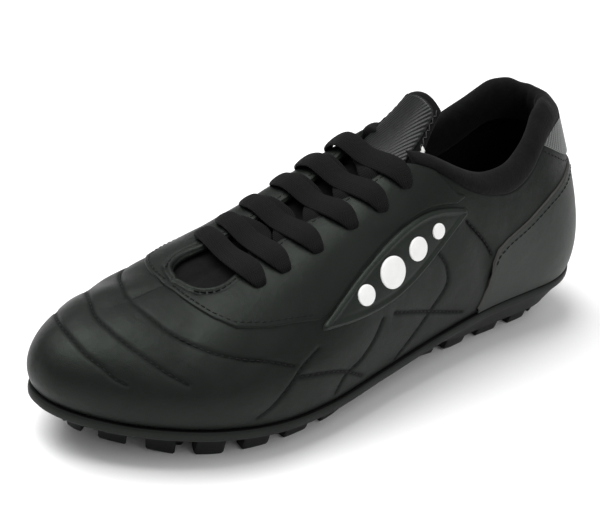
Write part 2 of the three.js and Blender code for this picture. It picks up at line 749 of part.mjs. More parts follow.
function tongueLabel() {
  const faces = new Faces();
  const lengths = 6;
  const widths = 6;
  const point = (i, j, depth) => {
    const place = LABEL.high + (LABEL.low - LABEL.high) * (i / lengths);
    const across = LABEL.half * ((2 * j) / widths - 1);
    return tonguePoint(place, across, depth);
  };
  const face = (i, j) => point(i, j, -(CLEARANCE + LABEL_THICKNESS));
  const back = (i, j) => point(i, j, -CLEARANCE);
  for (let i = 0; i < lengths; i += 1) {
    for (let j = 0; j < widths; j += 1) {
      faces.quad(face(i, j), face(i + 1, j), face(i + 1, j + 1), face(i, j + 1));
      faces.quad(back(i, j), back(i, j + 1), back(i + 1, j + 1), back(i + 1, j));
    }
    faces.quad(face(i, 0), back(i, 0), back(i + 1, 0), face(i + 1, 0));
    faces.quad(face(i, widths), face(i + 1, widths), back(i + 1, widths), back(i, widths));
  }
  for (let j = 0; j < widths; j += 1) {
    faces.quad(face(0, j), face(0, j + 1), back(0, j + 1), back(0, j));
    faces.quad(face(lengths, j), back(lengths, j), back(lengths, j + 1), face(lengths, j + 1));
  }
  return faces.geometry();
}

// Flat lace run along a path of points with the way up at each
function laceRun(path) {
  const faces = new Faces();
  const half = LACE_WIDTH / 2;
  const thick = LACE_THICKNESS / 2;
  const outline = [[-1, 0], [-0.75, 1], [0.75, 1], [1, 0], [0.75, -1], [-0.75, -1]];
  const rings = path.map((stop, i) => {
    const before = path[Math.max(i - 1, 0)].point;
    const after = path[Math.min(i + 1, path.length - 1)].point;
    const along = after.clone().sub(before).normalize();
    const across = along.clone().cross(stop.up).normalize();
    const up = across.clone().cross(along).normalize();
    const width = half * (stop.taper ?? 1);
    return outline.map(([x, y]) => stop.point.clone()
      .addScaledVector(across, x * width)
      .addScaledVector(up, y * thick));
  });
  for (let i = 0; i + 1 < rings.length; i += 1) {
    for (let j = 0; j < outline.length; j += 1) {
      const next = (j + 1) % outline.length;
      faces.quad(rings[i][j], rings[i][next], rings[i + 1][next], rings[i + 1][j]);
    }
  }
  for (const [ring, ahead] of [[rings[0], false], [rings[rings.length - 1], true]]) {
    for (let j = 1; j + 1 < ring.length; j += 1) {
      if (ahead) faces.triangle(ring[0], ring[j], ring[j + 1]);
      else faces.triangle(ring[0], ring[j + 1], ring[j]);
    }
  }
  return faces.geometry();
}

// Height of the lace's middle over the last: clear of the eyestay at its ends, lower over the throat
const LACE_SEAT = OVERLAY_SEAT + OVERLAY_THICKNESS + LACE_THICKNESS / 2 + 2 * CLEARANCE;
const LACE_SAG = 1.6;

function laceStop(place, side, girth, lift, taper) {
  const point = offSmooth(place, side, girth, LACE_SEAT + lift);
  const up = normalSmooth(place, side, girth);
  if (girth === 1) up.set(up.x, 0, up.z).normalize();
  return { point, up, taper };
}

// Place whose point off the last lies at a given distance from the heel, so that a bar runs straight across
function placeUnder(along, side, girth) {
  let low = 0.3;
  let high = 0.9;
  for (let i = 0; i < 20; i += 1) {
    const place = (low + high) / 2;
    if (offSmooth(place, side, girth, LACE_SEAT).x < along) low = place;
    else high = place;
  }
  return (low + high) / 2;
}

function lace() {
  const runs = [];
  for (const eyelet of EYELETS) {
    const g = eyelet.girth;
    const along = (offSmooth(eyelet.at, 1, g, LACE_SEAT).x + offSmooth(eyelet.at, -1, g, LACE_SEAT).x) / 2;
    const path = [];
    for (const side of [1, -1]) {
      const stop = (girth, lift, taper) => laceStop(placeUnder(along, side, girth), side, girth, lift, taper);
      const half = [
        stop(g, 0, 0.75),
        stop(g + (1 - g) * 0.3, CLEARANCE, 1),
        stop(g + (1 - g) * 0.6, CLEARANCE, 1),
      ];
      if (side > 0) path.push(...half, stop(1, -LACE_SAG, 1));
      else path.push(...half.reverse());
    }
    runs.push(laceRun(path));
  }
  for (let i = 0; i + 1 < EYELETS.length; i += 1) {
    const near = EYELETS[i];
    const far = EYELETS[i + 1];
    const place = (s) => far.at + (near.at - far.at) * s;
    runs.push(laceRun([
      laceStop(place(0.02), -1, far.girth + 0.06, 0.3, 0.7),
      laceStop(place(0.25), -1, 0.9, 2 * CLEARANCE, 0.8),
      laceStop(place(0.5), 1, 1, CLEARANCE - LACE_SAG, 0.8),
      laceStop(place(0.75), 1, 0.9, 2 * CLEARANCE, 0.8),
      laceStop(place(0.98), 1, near.girth + 0.06, 0.3, 0.7),
    ]));
  }
  return joined(runs);
}

// Plan outline of the joint line, moved outwards or inwards, at a place and side
function outlinePoint(station, margin, height) {
  const point = offLast(station, 0, 0);
  const before = offLast(station - 1, 0, 0);
  const after = offLast(station + 1, 0, 0);
  const along = after.sub(before);
  const outwards = new THREE.Vector3(-along.y, along.x, 0).normalize();
  return new THREE.Vector3(point.x + outwards.x * margin, point.y + outwards.y * margin, height);
}

// Closed slab from rings of outline points, with strips across its top and bottom
function slab(ringAt) {
  const faces = new Faces();
  const rings = [];
  for (let station = 0; station < LOOP; station += 1) rings.push(ringAt(station));
  const depth = rings[0].length;
  for (let station = 0; station < LOOP; station += 1) {
    const here = rings[station];
    const next = rings[(station + 1) % LOOP];
    for (let i = 0; i + 1 < depth; i += 1) faces.quad(here[i], here[i + 1], next[i + 1], next[i]);
  }
  for (let station = 0; station < STATIONS; station += 1) {
    const mirror = (index) => rings[(LOOP - index) % LOOP];
    const a = rings[station];
    const b = rings[station + 1];
    const c = mirror(station + 1);
    const d = mirror(station);
    faces.quad(a[0], b[0], c[0], d[0]);
    faces.quad(a[depth - 1], d[depth - 1], c[depth - 1], b[depth - 1]);
  }
  return faces.geometry();
}

const seatHeight = (place) => column(LAST_SECTIONS, 'seat', place) * HEEL_HEIGHT;
const floorRise = (place) => Math.max(linear(FLOOR_LINE, 'rise', place), 0) * HEEL_HEIGHT;
const undercut = (place) => linear(UNDERCUT, 'inset', place) * BALL_WIDTH;

function insole() {
  const margin = -(UPPER_WALL + 4 * CLEARANCE);
  return slab((station) => {
    const seat = seatHeight(stationPlace(station)) + CLEARANCE;
    return [
      outlinePoint(station, margin, seat + INSOLE_THICKNESS),
      outlinePoint(station, margin, seat),
    ];
  });
}

// Level of the sole's underside between the lugs
const plateLevel = (place) => Math.min(floorRise(place) + LUG_DEPTH, seatHeight(place) - BAND_HEIGHT - 1);

function lug(fromStation, toStation, margin, width) {
  const faces = new Faces();
  const rings = [];
  for (let i = 0; i <= LUG_STEPS; i += 1) {
    const station = fromStation + ((toStation - fromStation) * i) / LUG_STEPS;
    const low = Math.floor(station);
    const s = station - low;
    const at = (inset, height) => {
      const ahead = outlinePoint(low + 1, inset, height);
      return outlinePoint(low, inset, height).lerp(ahead, s);
    };
    const place = stationPlace(low) + (stationPlace(low + 1) - stationPlace(low)) * s;
    const foot = floorRise(place);
    const head = plateLevel(place) + 1;
    const edge = margin + undercut(place);
    rings.push([
      at(-edge, head),
      at(-edge - LUG_DRAFT, foot),
      at(-edge - width, foot),
      at(-edge - width - 1, head),
    ]);
  }
  for (let i = 0; i < LUG_STEPS; i += 1) {
    for (let j = 0; j < 4; j += 1) {
      const next = (j + 1) % 4;
      faces.quad(rings[i][j], rings[i][next], rings[i + 1][next], rings[i + 1][j]);
    }
  }
  const front = rings[LUG_STEPS];
  faces.quad(rings[0][0], rings[0][3], rings[0][2], rings[0][1]);
  faces.quad(front[0], front[1], front[2], front[3]);
  return faces.geometry();
}

// Six-sided stud under the middle of the sole
function stud(x, y, place) {
  const foot = floorRise(place);
  const height = plateLevel(place) + 1 - foot;
  const shape = new THREE.CylinderGeometry(STUD_RADIUS * 1.25, STUD_RADIUS, height, 6);
  shape.rotateX(Math.PI / 2);
  shape.translate(x, y, foot + height / 2);
  return shape;
}

// Station, as a real number, at a distance along the outline from the heel
function stationAlong(side, distance) {
  let travelled = 0;
  for (let station = 0; station < STATIONS; station += 1) {
    const a = outlinePoint(side * station, 0, 0);
    const b = outlinePoint(side * (station + 1), 0, 0);
    const step = a.distanceTo(b);
    if (travelled + step >= distance) return side * (station + (distance - travelled) / step);
    travelled += step;
  }
  return side * STATIONS;
}

function outsole() {
  const plate = slab((station) => {
    const place = stationPlace(station);
    const seat = seatHeight(place);
    const under = plateLevel(place);
    return [
      outlinePoint(station, WELT_MARGIN, seat),
      outlinePoint(station, WELT_MARGIN + 0.4, seat - BAND_HEIGHT / 2),
      outlinePoint(station, WELT_MARGIN, seat - BAND_HEIGHT),
      outlinePoint(station, WELT_MARGIN - BAND_STEP, seat - BAND_HEIGHT - 0.6),
      outlinePoint(station, WELT_MARGIN - BAND_STEP - 1.4 - undercut(place), under),
    ];
  });
  const parts = [plate];
  const margin = BAND_STEP + 1.6 - WELT_MARGIN;
  for (const side of [1, -1]) {
    let length = 0;
    for (let station = 0; station < STATIONS; station += 1) {
      length += outlinePoint(side * station, 0, 0).distanceTo(outlinePoint(side * (station + 1), 0, 0));
    }
    const count = Math.floor(length / LUG_PITCH);
    const pitch = length / count;
    for (let i = 0; i < count; i += 1) {
      const start = stationAlong(side, i * pitch + LUG_GAP / 2);
      const end = stationAlong(side, (i + 1) * pitch - LUG_GAP / 2);
      parts.push(lug(Math.min(start, end), Math.max(start, end), margin, LUG_WIDTH));
    }
  }
  const columns = Math.floor(LAST_LENGTH / STUD_PITCH);
  for (let i = 1; i < columns; i += 1) {
    const place = (i + 0.5) / columns;
    const centre = column(LAST_SECTIONS, 'centre', place) * BALL_WIDTH;
    const round = endRounding(place);
    const keepOff = margin + undercut(place) + LUG_WIDTH + 1 + STUD_RADIUS * 1.25 + 1.5;
    const outer = column(LAST_SECTIONS, 'lateral', place) * BALL_WIDTH * round - keepOff;
    const inner = column(LAST_SECTIONS, 'medial', place) * BALL_WIDTH * round - keepOff;
    if (outer + inner <= 0) continue;
    const across = Math.max(1, Math.floor((outer + inner) / STUD_PITCH) + 1);
    for (let j = 0; j < across; j += 1) {
      const s = across === 1 ? 0.5 : j / (across - 1);
      parts.push(stud(place * LAST_LENGTH, centre - inner + (outer + inner) * s, place));
    }
  }
  return joined(parts);
}

// Finishes as the photograph shows them: colour, roughness and metalness
const FINISHES = {
  leather: { color: 0x17191a, roughness: 0.45, metalness: 0 },
  overlay: { color: 0x1b1d1e, roughness: 0.4, metalness: 0 },
  heelPatch: { color: 0x3a3e3c, roughness: 0.8, metalness: 0 },
  textile: { color: 0x0c0d0d, roughness: 0.9, metalness: 0 },
  rubber: { color: 0x202222, roughness: 0.6, metalness: 0 },
  lace: { color: 0x0b0c0c, roughness: 0.85, metalness: 0 },
  gloss: { color: 0x2c3033, roughness: 0.2, metalness: 0 },
  white: { color: 0xf4f4f2, roughness: 0.45, metalness: 0 },
};

function piece(name, geometry, finish) {
  const mesh = new THREE.Mesh(geometry, new THREE.MeshStandardMaterial(FINISHES[finish]));
  mesh.name = name;
  return mesh;
}

const group = new THREE.Group();
group.add(
  piece('outsole', outsole(), 'rubber'),
  piece('insole', insole(), 'textile'),
  piece('upper', upper(), 'leather'),
  piece('collar', collar(), 'textile'),
  piece('tongue', tongue(), 'textile'),
  piece('tongue_label', tongueLabel(), 'gloss'),
  piece('eyestay', eyestay(), 'overlay'),
  piece('heel_counter', heelCounter(), 'overlay'),
  piece('heel_tab', heelTab(), 'heelPatch'),
  piece('lace', lace(), 'lace'),
);
for (const [sideName, side] of [['outer', 1], ['inner', -1]]) {
  group.add(piece(`badge_${sideName}`, badge(side), 'overlay'));
  EMBLEM_DISCS.forEach((disc, i) => {
    group.add(piece(`emblem_${sideName}_${i + 1}`, emblemDisc(side, disc), 'white'));
  });
}

// The origin goes to the middle of the footprint's box, on the floor
group.updateMatrixWorld(true);
const box = new THREE.Box3().setFromObject(group);
const middle = box.getCenter(new THREE.Vector3());
group.position.set(-middle.x, -middle.y, -box.min.z);

export default group;
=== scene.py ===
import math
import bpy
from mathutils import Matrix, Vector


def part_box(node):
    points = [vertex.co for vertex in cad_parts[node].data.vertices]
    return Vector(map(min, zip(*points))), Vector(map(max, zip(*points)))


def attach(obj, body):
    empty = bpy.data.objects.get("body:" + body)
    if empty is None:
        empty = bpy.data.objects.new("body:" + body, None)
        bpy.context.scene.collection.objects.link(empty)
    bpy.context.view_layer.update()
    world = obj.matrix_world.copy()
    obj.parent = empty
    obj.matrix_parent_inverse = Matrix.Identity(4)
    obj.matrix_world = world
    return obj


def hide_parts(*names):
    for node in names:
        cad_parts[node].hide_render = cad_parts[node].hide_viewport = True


bl_info = {
    "name": "Turf Shoe",
    "version": (1, 0, 0),
    "blender": (4, 5, 0),
    "location": "3D View > Sidebar > Turf Shoe",
    "description": "Builds a left turf shoe with a black synthetic upper round its CAD frame",
    "category": "Object",
}

import bpy
import numpy as np
from mathutils import Matrix, Vector
from mathutils.kdtree import KDTree

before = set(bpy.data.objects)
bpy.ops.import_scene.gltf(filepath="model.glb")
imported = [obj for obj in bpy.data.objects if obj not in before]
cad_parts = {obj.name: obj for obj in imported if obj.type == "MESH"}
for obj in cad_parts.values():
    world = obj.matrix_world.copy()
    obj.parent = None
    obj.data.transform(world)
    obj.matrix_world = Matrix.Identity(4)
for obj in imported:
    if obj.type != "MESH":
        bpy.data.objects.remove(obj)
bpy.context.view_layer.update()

MM = 0.001
TINY = 1e-12

# The last: sections from heel to toe, in millimetres, share of the length in the first column
LAST_LENGTH = 285.0
SECTION_NAMES = ("at", "centre", "lateral", "medial", "seat", "bulge", "belly",
                 "shoulder_lateral", "shoulder_medial", "shoulder", "ridge")
SECTION_ROWS = (
    (0.00, 0.0, 34.0, 32.0, 27.0, 9.0, 30.0, 14.0, 14.0, 108.0, 150.0),
    (0.12, 0.0, 34.5, 32.0, 25.9, 6.5, 30.0, 21.0, 21.0, 110.0, 142.0),
    (0.25, 0.0, 35.0, 30.5, 24.0, 5.0, 30.0, 31.0, 30.0, 112.0, 124.0),
    (0.38, 0.0, 39.0, 29.5, 21.1, 3.5, 32.0, 32.0, 31.0, 113.0, 104.0),
    (0.50, 0.0, 44.5, 32.0, 18.5, 4.0, 32.0, 35.0, 38.0, 98.5, 88.0),
    (0.62, -1.0, 51.0, 39.0, 16.3, 6.0, 30.0, 33.0, 34.0, 82.5, 77.5),
    (0.70, -2.0, 53.0, 43.0, 16.3, 7.0, 27.0, 35.0, 30.0, 72.5, 71.0),
    (0.78, -3.0, 51.0, 43.0, 17.6, 8.0, 25.0, 35.5, 26.0, 65.0, 65.5),
    (0.86, -4.0, 46.5, 39.0, 19.6, 8.0, 23.0, 31.0, 24.5, 59.0, 61.0),
    (0.94, -5.0, 39.5, 32.0, 22.0, 7.0, 20.0, 27.0, 24.0, 58.0, 58.0),
    (1.00, -5.0, 32.0, 25.0, 25.0, 6.0, 17.0, 23.0, 21.0, 55.0, 56.0),
)
GUIDES = ((0.000, 1.000), (-0.021, 1.032), (0.074, 0.975), (0.105, 0.863))
HEEL_REACH = 0.13
TOE_REACH = 0.28
END_FULLNESS = 2.4
CLEARANCE = 0.3
WALL = 2.2

# Cut edge of the upper, as a share of the girth from the joint line to the ridge
CUT_EDGE = ((0.0, 0.63), (0.06, 0.625), (0.089, 0.603), (0.114, 0.569), (0.148, 0.52), (0.189, 0.492),
            (0.247, 0.515), (0.303, 0.585), (0.359, 0.715), (0.409, 0.835), (0.45, 0.875), (0.5, 0.895),
            (0.6, 0.905), (0.68, 0.9), (0.75, 0.875), (0.8, 0.85), (0.835, 0.89), (0.861, 0.955), (0.88, 1.0))
EYESTAY_LOW = ((0.31, 0.545), (0.35, 0.52), (0.40, 0.52), (0.633, 0.44), (0.678, 0.495), (0.721, 0.534),
               (0.776, 0.60), (0.809, 0.686), (0.844, 0.797), (0.885, 0.925), (0.914, 1.0))
EYESTAY_FOLD = ((0.31, 0.56), (0.325, 0.575), (0.345, 0.66), (0.36, 0.73), (0.37, 1.0))
COUNTER_HIGH = ((0.0, 0.47), (0.031, 0.475), (0.113, 0.415), (0.169, 0.36), (0.221, 0.32), (0.243, 0.29),
                (0.255, 0.23), (0.264, 0.14), (0.275, 0.03))
HEEL_TAB_LOW = ((0.0, 0.49), (0.04, 0.51), (0.105, 0.6))
EYELETS = ((0.721, 0.745), (0.671, 0.74), (0.606, 0.727), (0.535, 0.73), (0.475, 0.71), (0.419, 0.722))
BADGE_REAR = 0.310
BADGE_FRONT = 0.630
BADGE_MIDDLE = (0.493, 0.396)
BADGE_TIP = 0.012
BADGE_SWELL = 0.11
SIDES = (1, -1)

# Stitched lines of one side, each a run of (share of the length, share of the girth)
STITCH_LINES = {
    "toe_throat": ((0.904, 1.0), (0.88, 0.975), (0.86, 0.94), (0.833, 0.847)),
    "front_diagonal": ((0.752, 0.06), (0.734, 0.108), (0.711, 0.176), (0.691, 0.233), (0.678, 0.27),
                       (0.656, 0.301), (0.64, 0.319)),
    "rear_chevron": ((0.309, 0.451), (0.261, 0.297), (0.257, 0.277)),
    "middle_chevron": ((0.39, 0.417), (0.362, 0.314), (0.358, 0.255), (0.399, 0.152), (0.43, 0.089),
                       (0.471, 0.015)),
    "front_chevron": ((0.507, 0.263), (0.527, 0.194), (0.555, 0.141), (0.591, 0.106), (0.607, 0.039)),
    "cross_line": ((0.481, 0.254), (0.314, 0.055)),
    "lower_line": ((0.682, 0.241), (0.586, 0.125), (0.55, 0.044)),
}

# Stitched arcs over the toe, each a run of (share of the length, side, share of the girth)
TOE_ARCS = (
    ((0.922, 1, 0.33), (0.937, 1, 0.371), (0.951, 1, 0.434), (0.973, 1, 0.516), (0.996, 1, 0.623),
     (0.995, -1, 0.635), (0.932, -1, 0.434), (0.915, -1, 0.37)),
    ((0.849, 1, 0.340), (0.874, 1, 0.415), (0.898, 1, 0.497), (0.927, 1, 0.591), (0.958, 1, 0.698),
     (0.996, -1, 0.836), (0.978, -1, 0.799), (0.921, -1, 0.648), (0.884, -1, 0.52), (0.848, -1, 0.40)),
    ((0.687, 1, 0.302), (0.733, 1, 0.384), (0.773, 1, 0.440), (0.814, 1, 0.509), (0.847, 1, 0.591),
     (0.879, 1, 0.679), (0.913, 1, 0.786), (0.974, -1, 0.969), (0.908, -1, 0.811), (0.824, -1, 0.579),
     (0.776, -1, 0.48), (0.733, -1, 0.41), (0.7, -1, 0.36)),
)

# Creases of the leather: runs of (share of the length, share of the girth), depth and half width
CREASES = (
    (((0.745, 0.50), (0.76, 0.42), (0.79, 0.34)), 0.5, 5.0),
    (((0.665, 0.42), (0.70, 0.36), (0.72, 0.28)), 0.5, 6.0),
    (((0.30, 0.43), (0.275, 0.34), (0.27, 0.20)), 0.6, 6.0),
    (((0.45, 0.56), (0.50, 0.60), (0.56, 0.62)), 0.5, 5.0),
    (((0.58, 0.62), (0.62, 0.58), (0.66, 0.58)), 0.5, 5.0),
    (((0.83, 0.72), (0.85, 0.60), (0.86, 0.48)), 0.4, 6.0),
)


def size_property(name, description, default):
    return bpy.props.FloatProperty(name=name, description=description, default=default, unit="LENGTH")


def colour_property(name, description, default):
    return bpy.props.FloatVectorProperty(name=name, description=description, default=default,
                                         subtype="COLOR", size=3, min=0.0, max=1.0)


class ShoeSizes(bpy.types.PropertyGroup):
    """Sizes of the visual pieces"""

    quilt_puff: size_property("Quilt Puff", "How far the padded fields stand above their seams", 0.00045)
    groove_width: size_property("Groove Width", "Half width of the valley that a seam pulls in", 0.0022)
    overlay_thickness: size_property("Overlay Thickness", "Height of a sewn overlay above the upper", 0.0010)
    badge_thickness: size_property("Side Plate Thickness", "Height of the side plate above the upper", 0.0017)
    stitch_length: size_property("Stitch Length", "Length of one stitch", 0.0024)
    stitch_gap: size_property("Stitch Gap", "Gap between stitches", 0.0006)
    thread_radius: size_property("Thread Radius", "Radius of the sewing thread", 0.00026)
    lace_width: size_property("Lace Width", "Width of the flat lace", 0.0092)
    lace_thickness: size_property("Lace Thickness", "Thickness of the flat lace", 0.0017)


class ShoeColours(bpy.types.PropertyGroup):
    """Colours of the finishes"""

    leather: colour_property("Leather", "Colour of the synthetic leather", (0.0044, 0.0053, 0.0046))
    lining: colour_property("Lining", "Colour of the collar, lining and tongue", (0.0014, 0.0014, 0.0015))
    weave: colour_property("Heel Weave", "Colour of the heel tab's weave", (0.070, 0.076, 0.072))
    film: colour_property("Tongue Film", "Colour of the film on the tongue", (0.0066, 0.0074, 0.0070))
    rubber: colour_property("Rubber", "Colour of the sole", (0.0048, 0.0052, 0.0048))
    lace: colour_property("Lace", "Colour of the lace", (0.0022, 0.0026, 0.0022))
    disc: colour_property("Discs", "Colour of the discs on the side plates", (0.86, 0.86, 0.85))


def size(name):
    """A size of the visual pieces in millimetres"""
    return getattr(bpy.context.scene.turf_shoe_sizes, name) / MM


def colour(name):
    return tuple(getattr(bpy.context.scene.turf_shoe_colours, name))


def together(*values):
    """Values as arrays of one shape"""
    return np.broadcast_arrays(*(np.asarray(value, float) for value in values))


def unit(vectors):
    return vectors / np.linalg.norm(vectors, axis=-1, keepdims=True)


def run_of(points):
    """Running length along points"""
    return np.concatenate([[0.0], np.cumsum(np.linalg.norm(np.diff(points, axis=0), axis=1))])


def at_run(at, run, points):
    """Points at some lengths of their run, on straight lines between them"""
    return np.stack([np.interp(at, run, points[:, k]) for k in range(points.shape[1])], axis=1)


def eased(share):
    """Share from 0 to 1 that starts and ends softly"""
    s = np.clip(share, 0.0, 1.0)
    return s * s * (3 - 2 * s)


def bell(distance, middle, half_width):
    return np.exp(-((distance - middle) / half_width) ** 2)


def crowded(count):
    """Shares from 0 to 1 that lie closer together at both ends"""
    return (1 - np.cos(np.linspace(0, np.pi, count))) / 2


def between(lows, highs, shares):
    return lows[:, None] + (highs - lows)[:, None] * shares


def smooth_rows(rows, column, at):
    """Smooth value of a column through the rows of a table, as the solids have it"""
    xs = np.array([row[0] for row in rows])
    ys = np.array([row[column] for row in rows])
    gaps = np.diff(xs)
    rises = np.diff(ys) / gaps
    slopes = np.empty_like(ys)
    slopes[0] = rises[0]
    slopes[-1] = rises[-1]
    slopes[1:-1] = (rises[:-1] * gaps[1:] + rises[1:] * gaps[:-1]) / (gaps[1:] + gaps[:-1])
    at = np.asarray(at, dtype=float)
    i = np.clip(np.searchsorted(xs, at, side="right") - 1, 0, len(xs) - 2)
    s = np.clip((at - xs[i]) / gaps[i], 0.0, 1.0)
    a = (1 + 2 * s) * (1 - s) ** 2
    b = s * (1 - s) ** 2
    c = s * s * (3 - 2 * s)
    d = s * s * (s - 1)
    return a * ys[i] + b * gaps[i] * slopes[i] + c * ys[i + 1] + d * gaps[i] * slopes[i + 1]


def straight_rows(rows, at):
    return np.interp(at, [row[0] for row in rows], [row[1] for row in rows])


def section(name, at):
    return smooth_rows(SECTION_ROWS, SECTION_NAMES.index(name), at)


def end_rounding(place):
    """Share of the full width that is left towards the heel and the toe"""
    heel = np.clip(1 - place / HEEL_REACH, 0.0, 1.0)
    toe = np.clip((place - 1 + TOE_REACH) / TOE_REACH, 0.0, 1.0)
    heel_factor = (1 - heel ** END_FULLNESS) ** (1 / END_FULLNESS)
    toe_factor = (1 - toe ** END_FULLNESS) ** (1 / END_FULLNESS)
    return heel_factor * toe_factor


def last_point(place, side, girth):
    """Points on the last in millimetres. side is 1 outwards and -1 inwards."""
    place, side, girth = together(place, side, girth)
    around = end_rounding(place)
    outer = side > 0
    half = np.where(outer, section("lateral", place), section("medial", place))
    shoulder = np.where(outer, section("shoulder_lateral", place), section("shoulder_medial", place))
    seat = section("seat", place) + CLEARANCE
    reach = (half * around, (half + section("bulge", place)) * around, shoulder * around, 0.0 * place)
    heights = (seat, seat + section("belly", place), section("shoulder", place), section("ridge", place))
    rest = 1 - girth
    weights = (rest ** 3, 3 * rest ** 2 * girth, 3 * rest * girth ** 2, girth ** 3)
    x = sum(w * (g[0] + (g[1] - g[0]) * place) for w, g in zip(weights, GUIDES)) * LAST_LENGTH
    y = section("centre", place) + side * sum(w * r for w, r in zip(weights, reach))
    z = sum(w * h for w, h in zip(weights, heights))
    return np.stack([x, y, z], axis=-1)


def place_of_turn(turn):
    return (1 - np.cos(np.pi * turn)) / 2


def loop_point(turn, girth):
    """Point of the loop: turn 0 at the heel, 1 at the toe by the outer side, 2 back at the heel"""
    wrapped = np.mod(turn, 2.0)
    inner = wrapped > 1
    return last_point(place_of_turn(np.where(inner, 2 - wrapped, wrapped)), np.where(inner, -1.0, 1.0), girth)


def loop_normal(turn, girth):
    """Outward normal of the last, from points a small step apart"""
    step = 0.004
    turn, girth = together(turn, girth)
    along = loop_point(turn + step, girth) - loop_point(turn - step, girth)
    up = loop_point(turn, np.minimum(girth + step, 1)) - loop_point(turn, np.maximum(girth - step, 0))
    normal = np.cross(up, along)
    return normal / (np.linalg.norm(normal, axis=-1, keepdims=True) + TINY)


def soft_normal(turn, girth):
    """Normal that is the same on both sides of the ridge"""
    turn, girth = together(turn, girth)
    own = loop_normal(turn, girth)
    ridge = loop_normal(turn, np.ones_like(girth)) + loop_normal(2 - turn, np.ones_like(girth))
    s = eased((girth - 0.9) / 0.1)[..., None]
    ridge = ridge / (np.linalg.norm(ridge, axis=-1, keepdims=True) + TINY)
    return unit(own * (1 - s) + ridge * s)


def sheet(turns, girths, normal=soft_normal):
    """Points and normals of the last on a grid of turns by girths"""
    spread = np.broadcast_to(turns[:, None], girths.shape)
    return loop_point(spread, girths), normal(spread, girths)


def turn_of(place, side):
    """Turn of the loop at a place of one side"""
    turn = np.arccos(1 - 2 * np.clip(place, 0.0, 1.0)) / np.pi
    return np.where(np.asarray(side) > 0, turn, 2 - turn)


def on_last(place, side, girth, distance=0.0):
    """Points some millimetres off the surface of the last"""
    turn = turn_of(np.asarray(place, float), side)
    return loop_point(turn, girth) + soft_normal(turn, girth) * np.asarray(distance, float)[..., None]


# The row's origin is under the middle of the whole box of the solids
LAST_ORIGIN = np.array([142.5504, 2.5063, 0.0])


def to_row(points):
    return (np.asarray(points) - LAST_ORIGIN) * MM


def cut_edge(place):
    """Girth at which the upper ends"""
    return np.where(place >= CUT_EDGE[-1][0], 1.0, np.minimum(smooth_rows(CUT_EDGE, 1, place), 1.0))


def badge_edges(place):
    """Lower and upper girth of the side plate"""
    s = np.clip((place - BADGE_REAR) / (BADGE_FRONT - BADGE_REAR), 0.0, 1.0)
    middle = BADGE_MIDDLE[0] + (BADGE_MIDDLE[1] - BADGE_MIDDLE[0]) * s
    half = BADGE_TIP + BADGE_SWELL * np.sin(np.pi * s)
    return middle - half, middle + half


def dense(line, side, step=0.8):
    """Points every step millimetres along a line of (place, girth), with their places and girths"""
    rows = np.array(line, float)
    run = run_of(on_last(rows[:, 0], side, rows[:, 1]))
    at = np.linspace(0, run[-1], max(int(run[-1] / step), 2))
    knots = np.concatenate([run[:, None], rows], axis=1)
    places, girths = (smooth_rows(knots, column, at) for column in (1, 2))
    return places, girths, on_last(places, side, girths)


class NearLines:
    """Distance in millimetres from points to the nearest of some sampled lines"""

    def __init__(self, runs):
        points = np.concatenate(runs)
        self.tree = KDTree(len(points))
        for i, point in enumerate(points):
            self.tree.insert(point, i)
        self.tree.balance()

    def distance(self, points):
        flat = points.reshape(-1, 3)
        found = np.array([self.tree.find(point)[2] for point in flat])
        return found.reshape(points.shape[:-1])


WELD_DISTANCE = 2e-6


def placed(name, data):
    """New object of the scene"""
    thing = bpy.data.objects.new(name, data)
    bpy.context.scene.collection.objects.link(thing)
    return thing


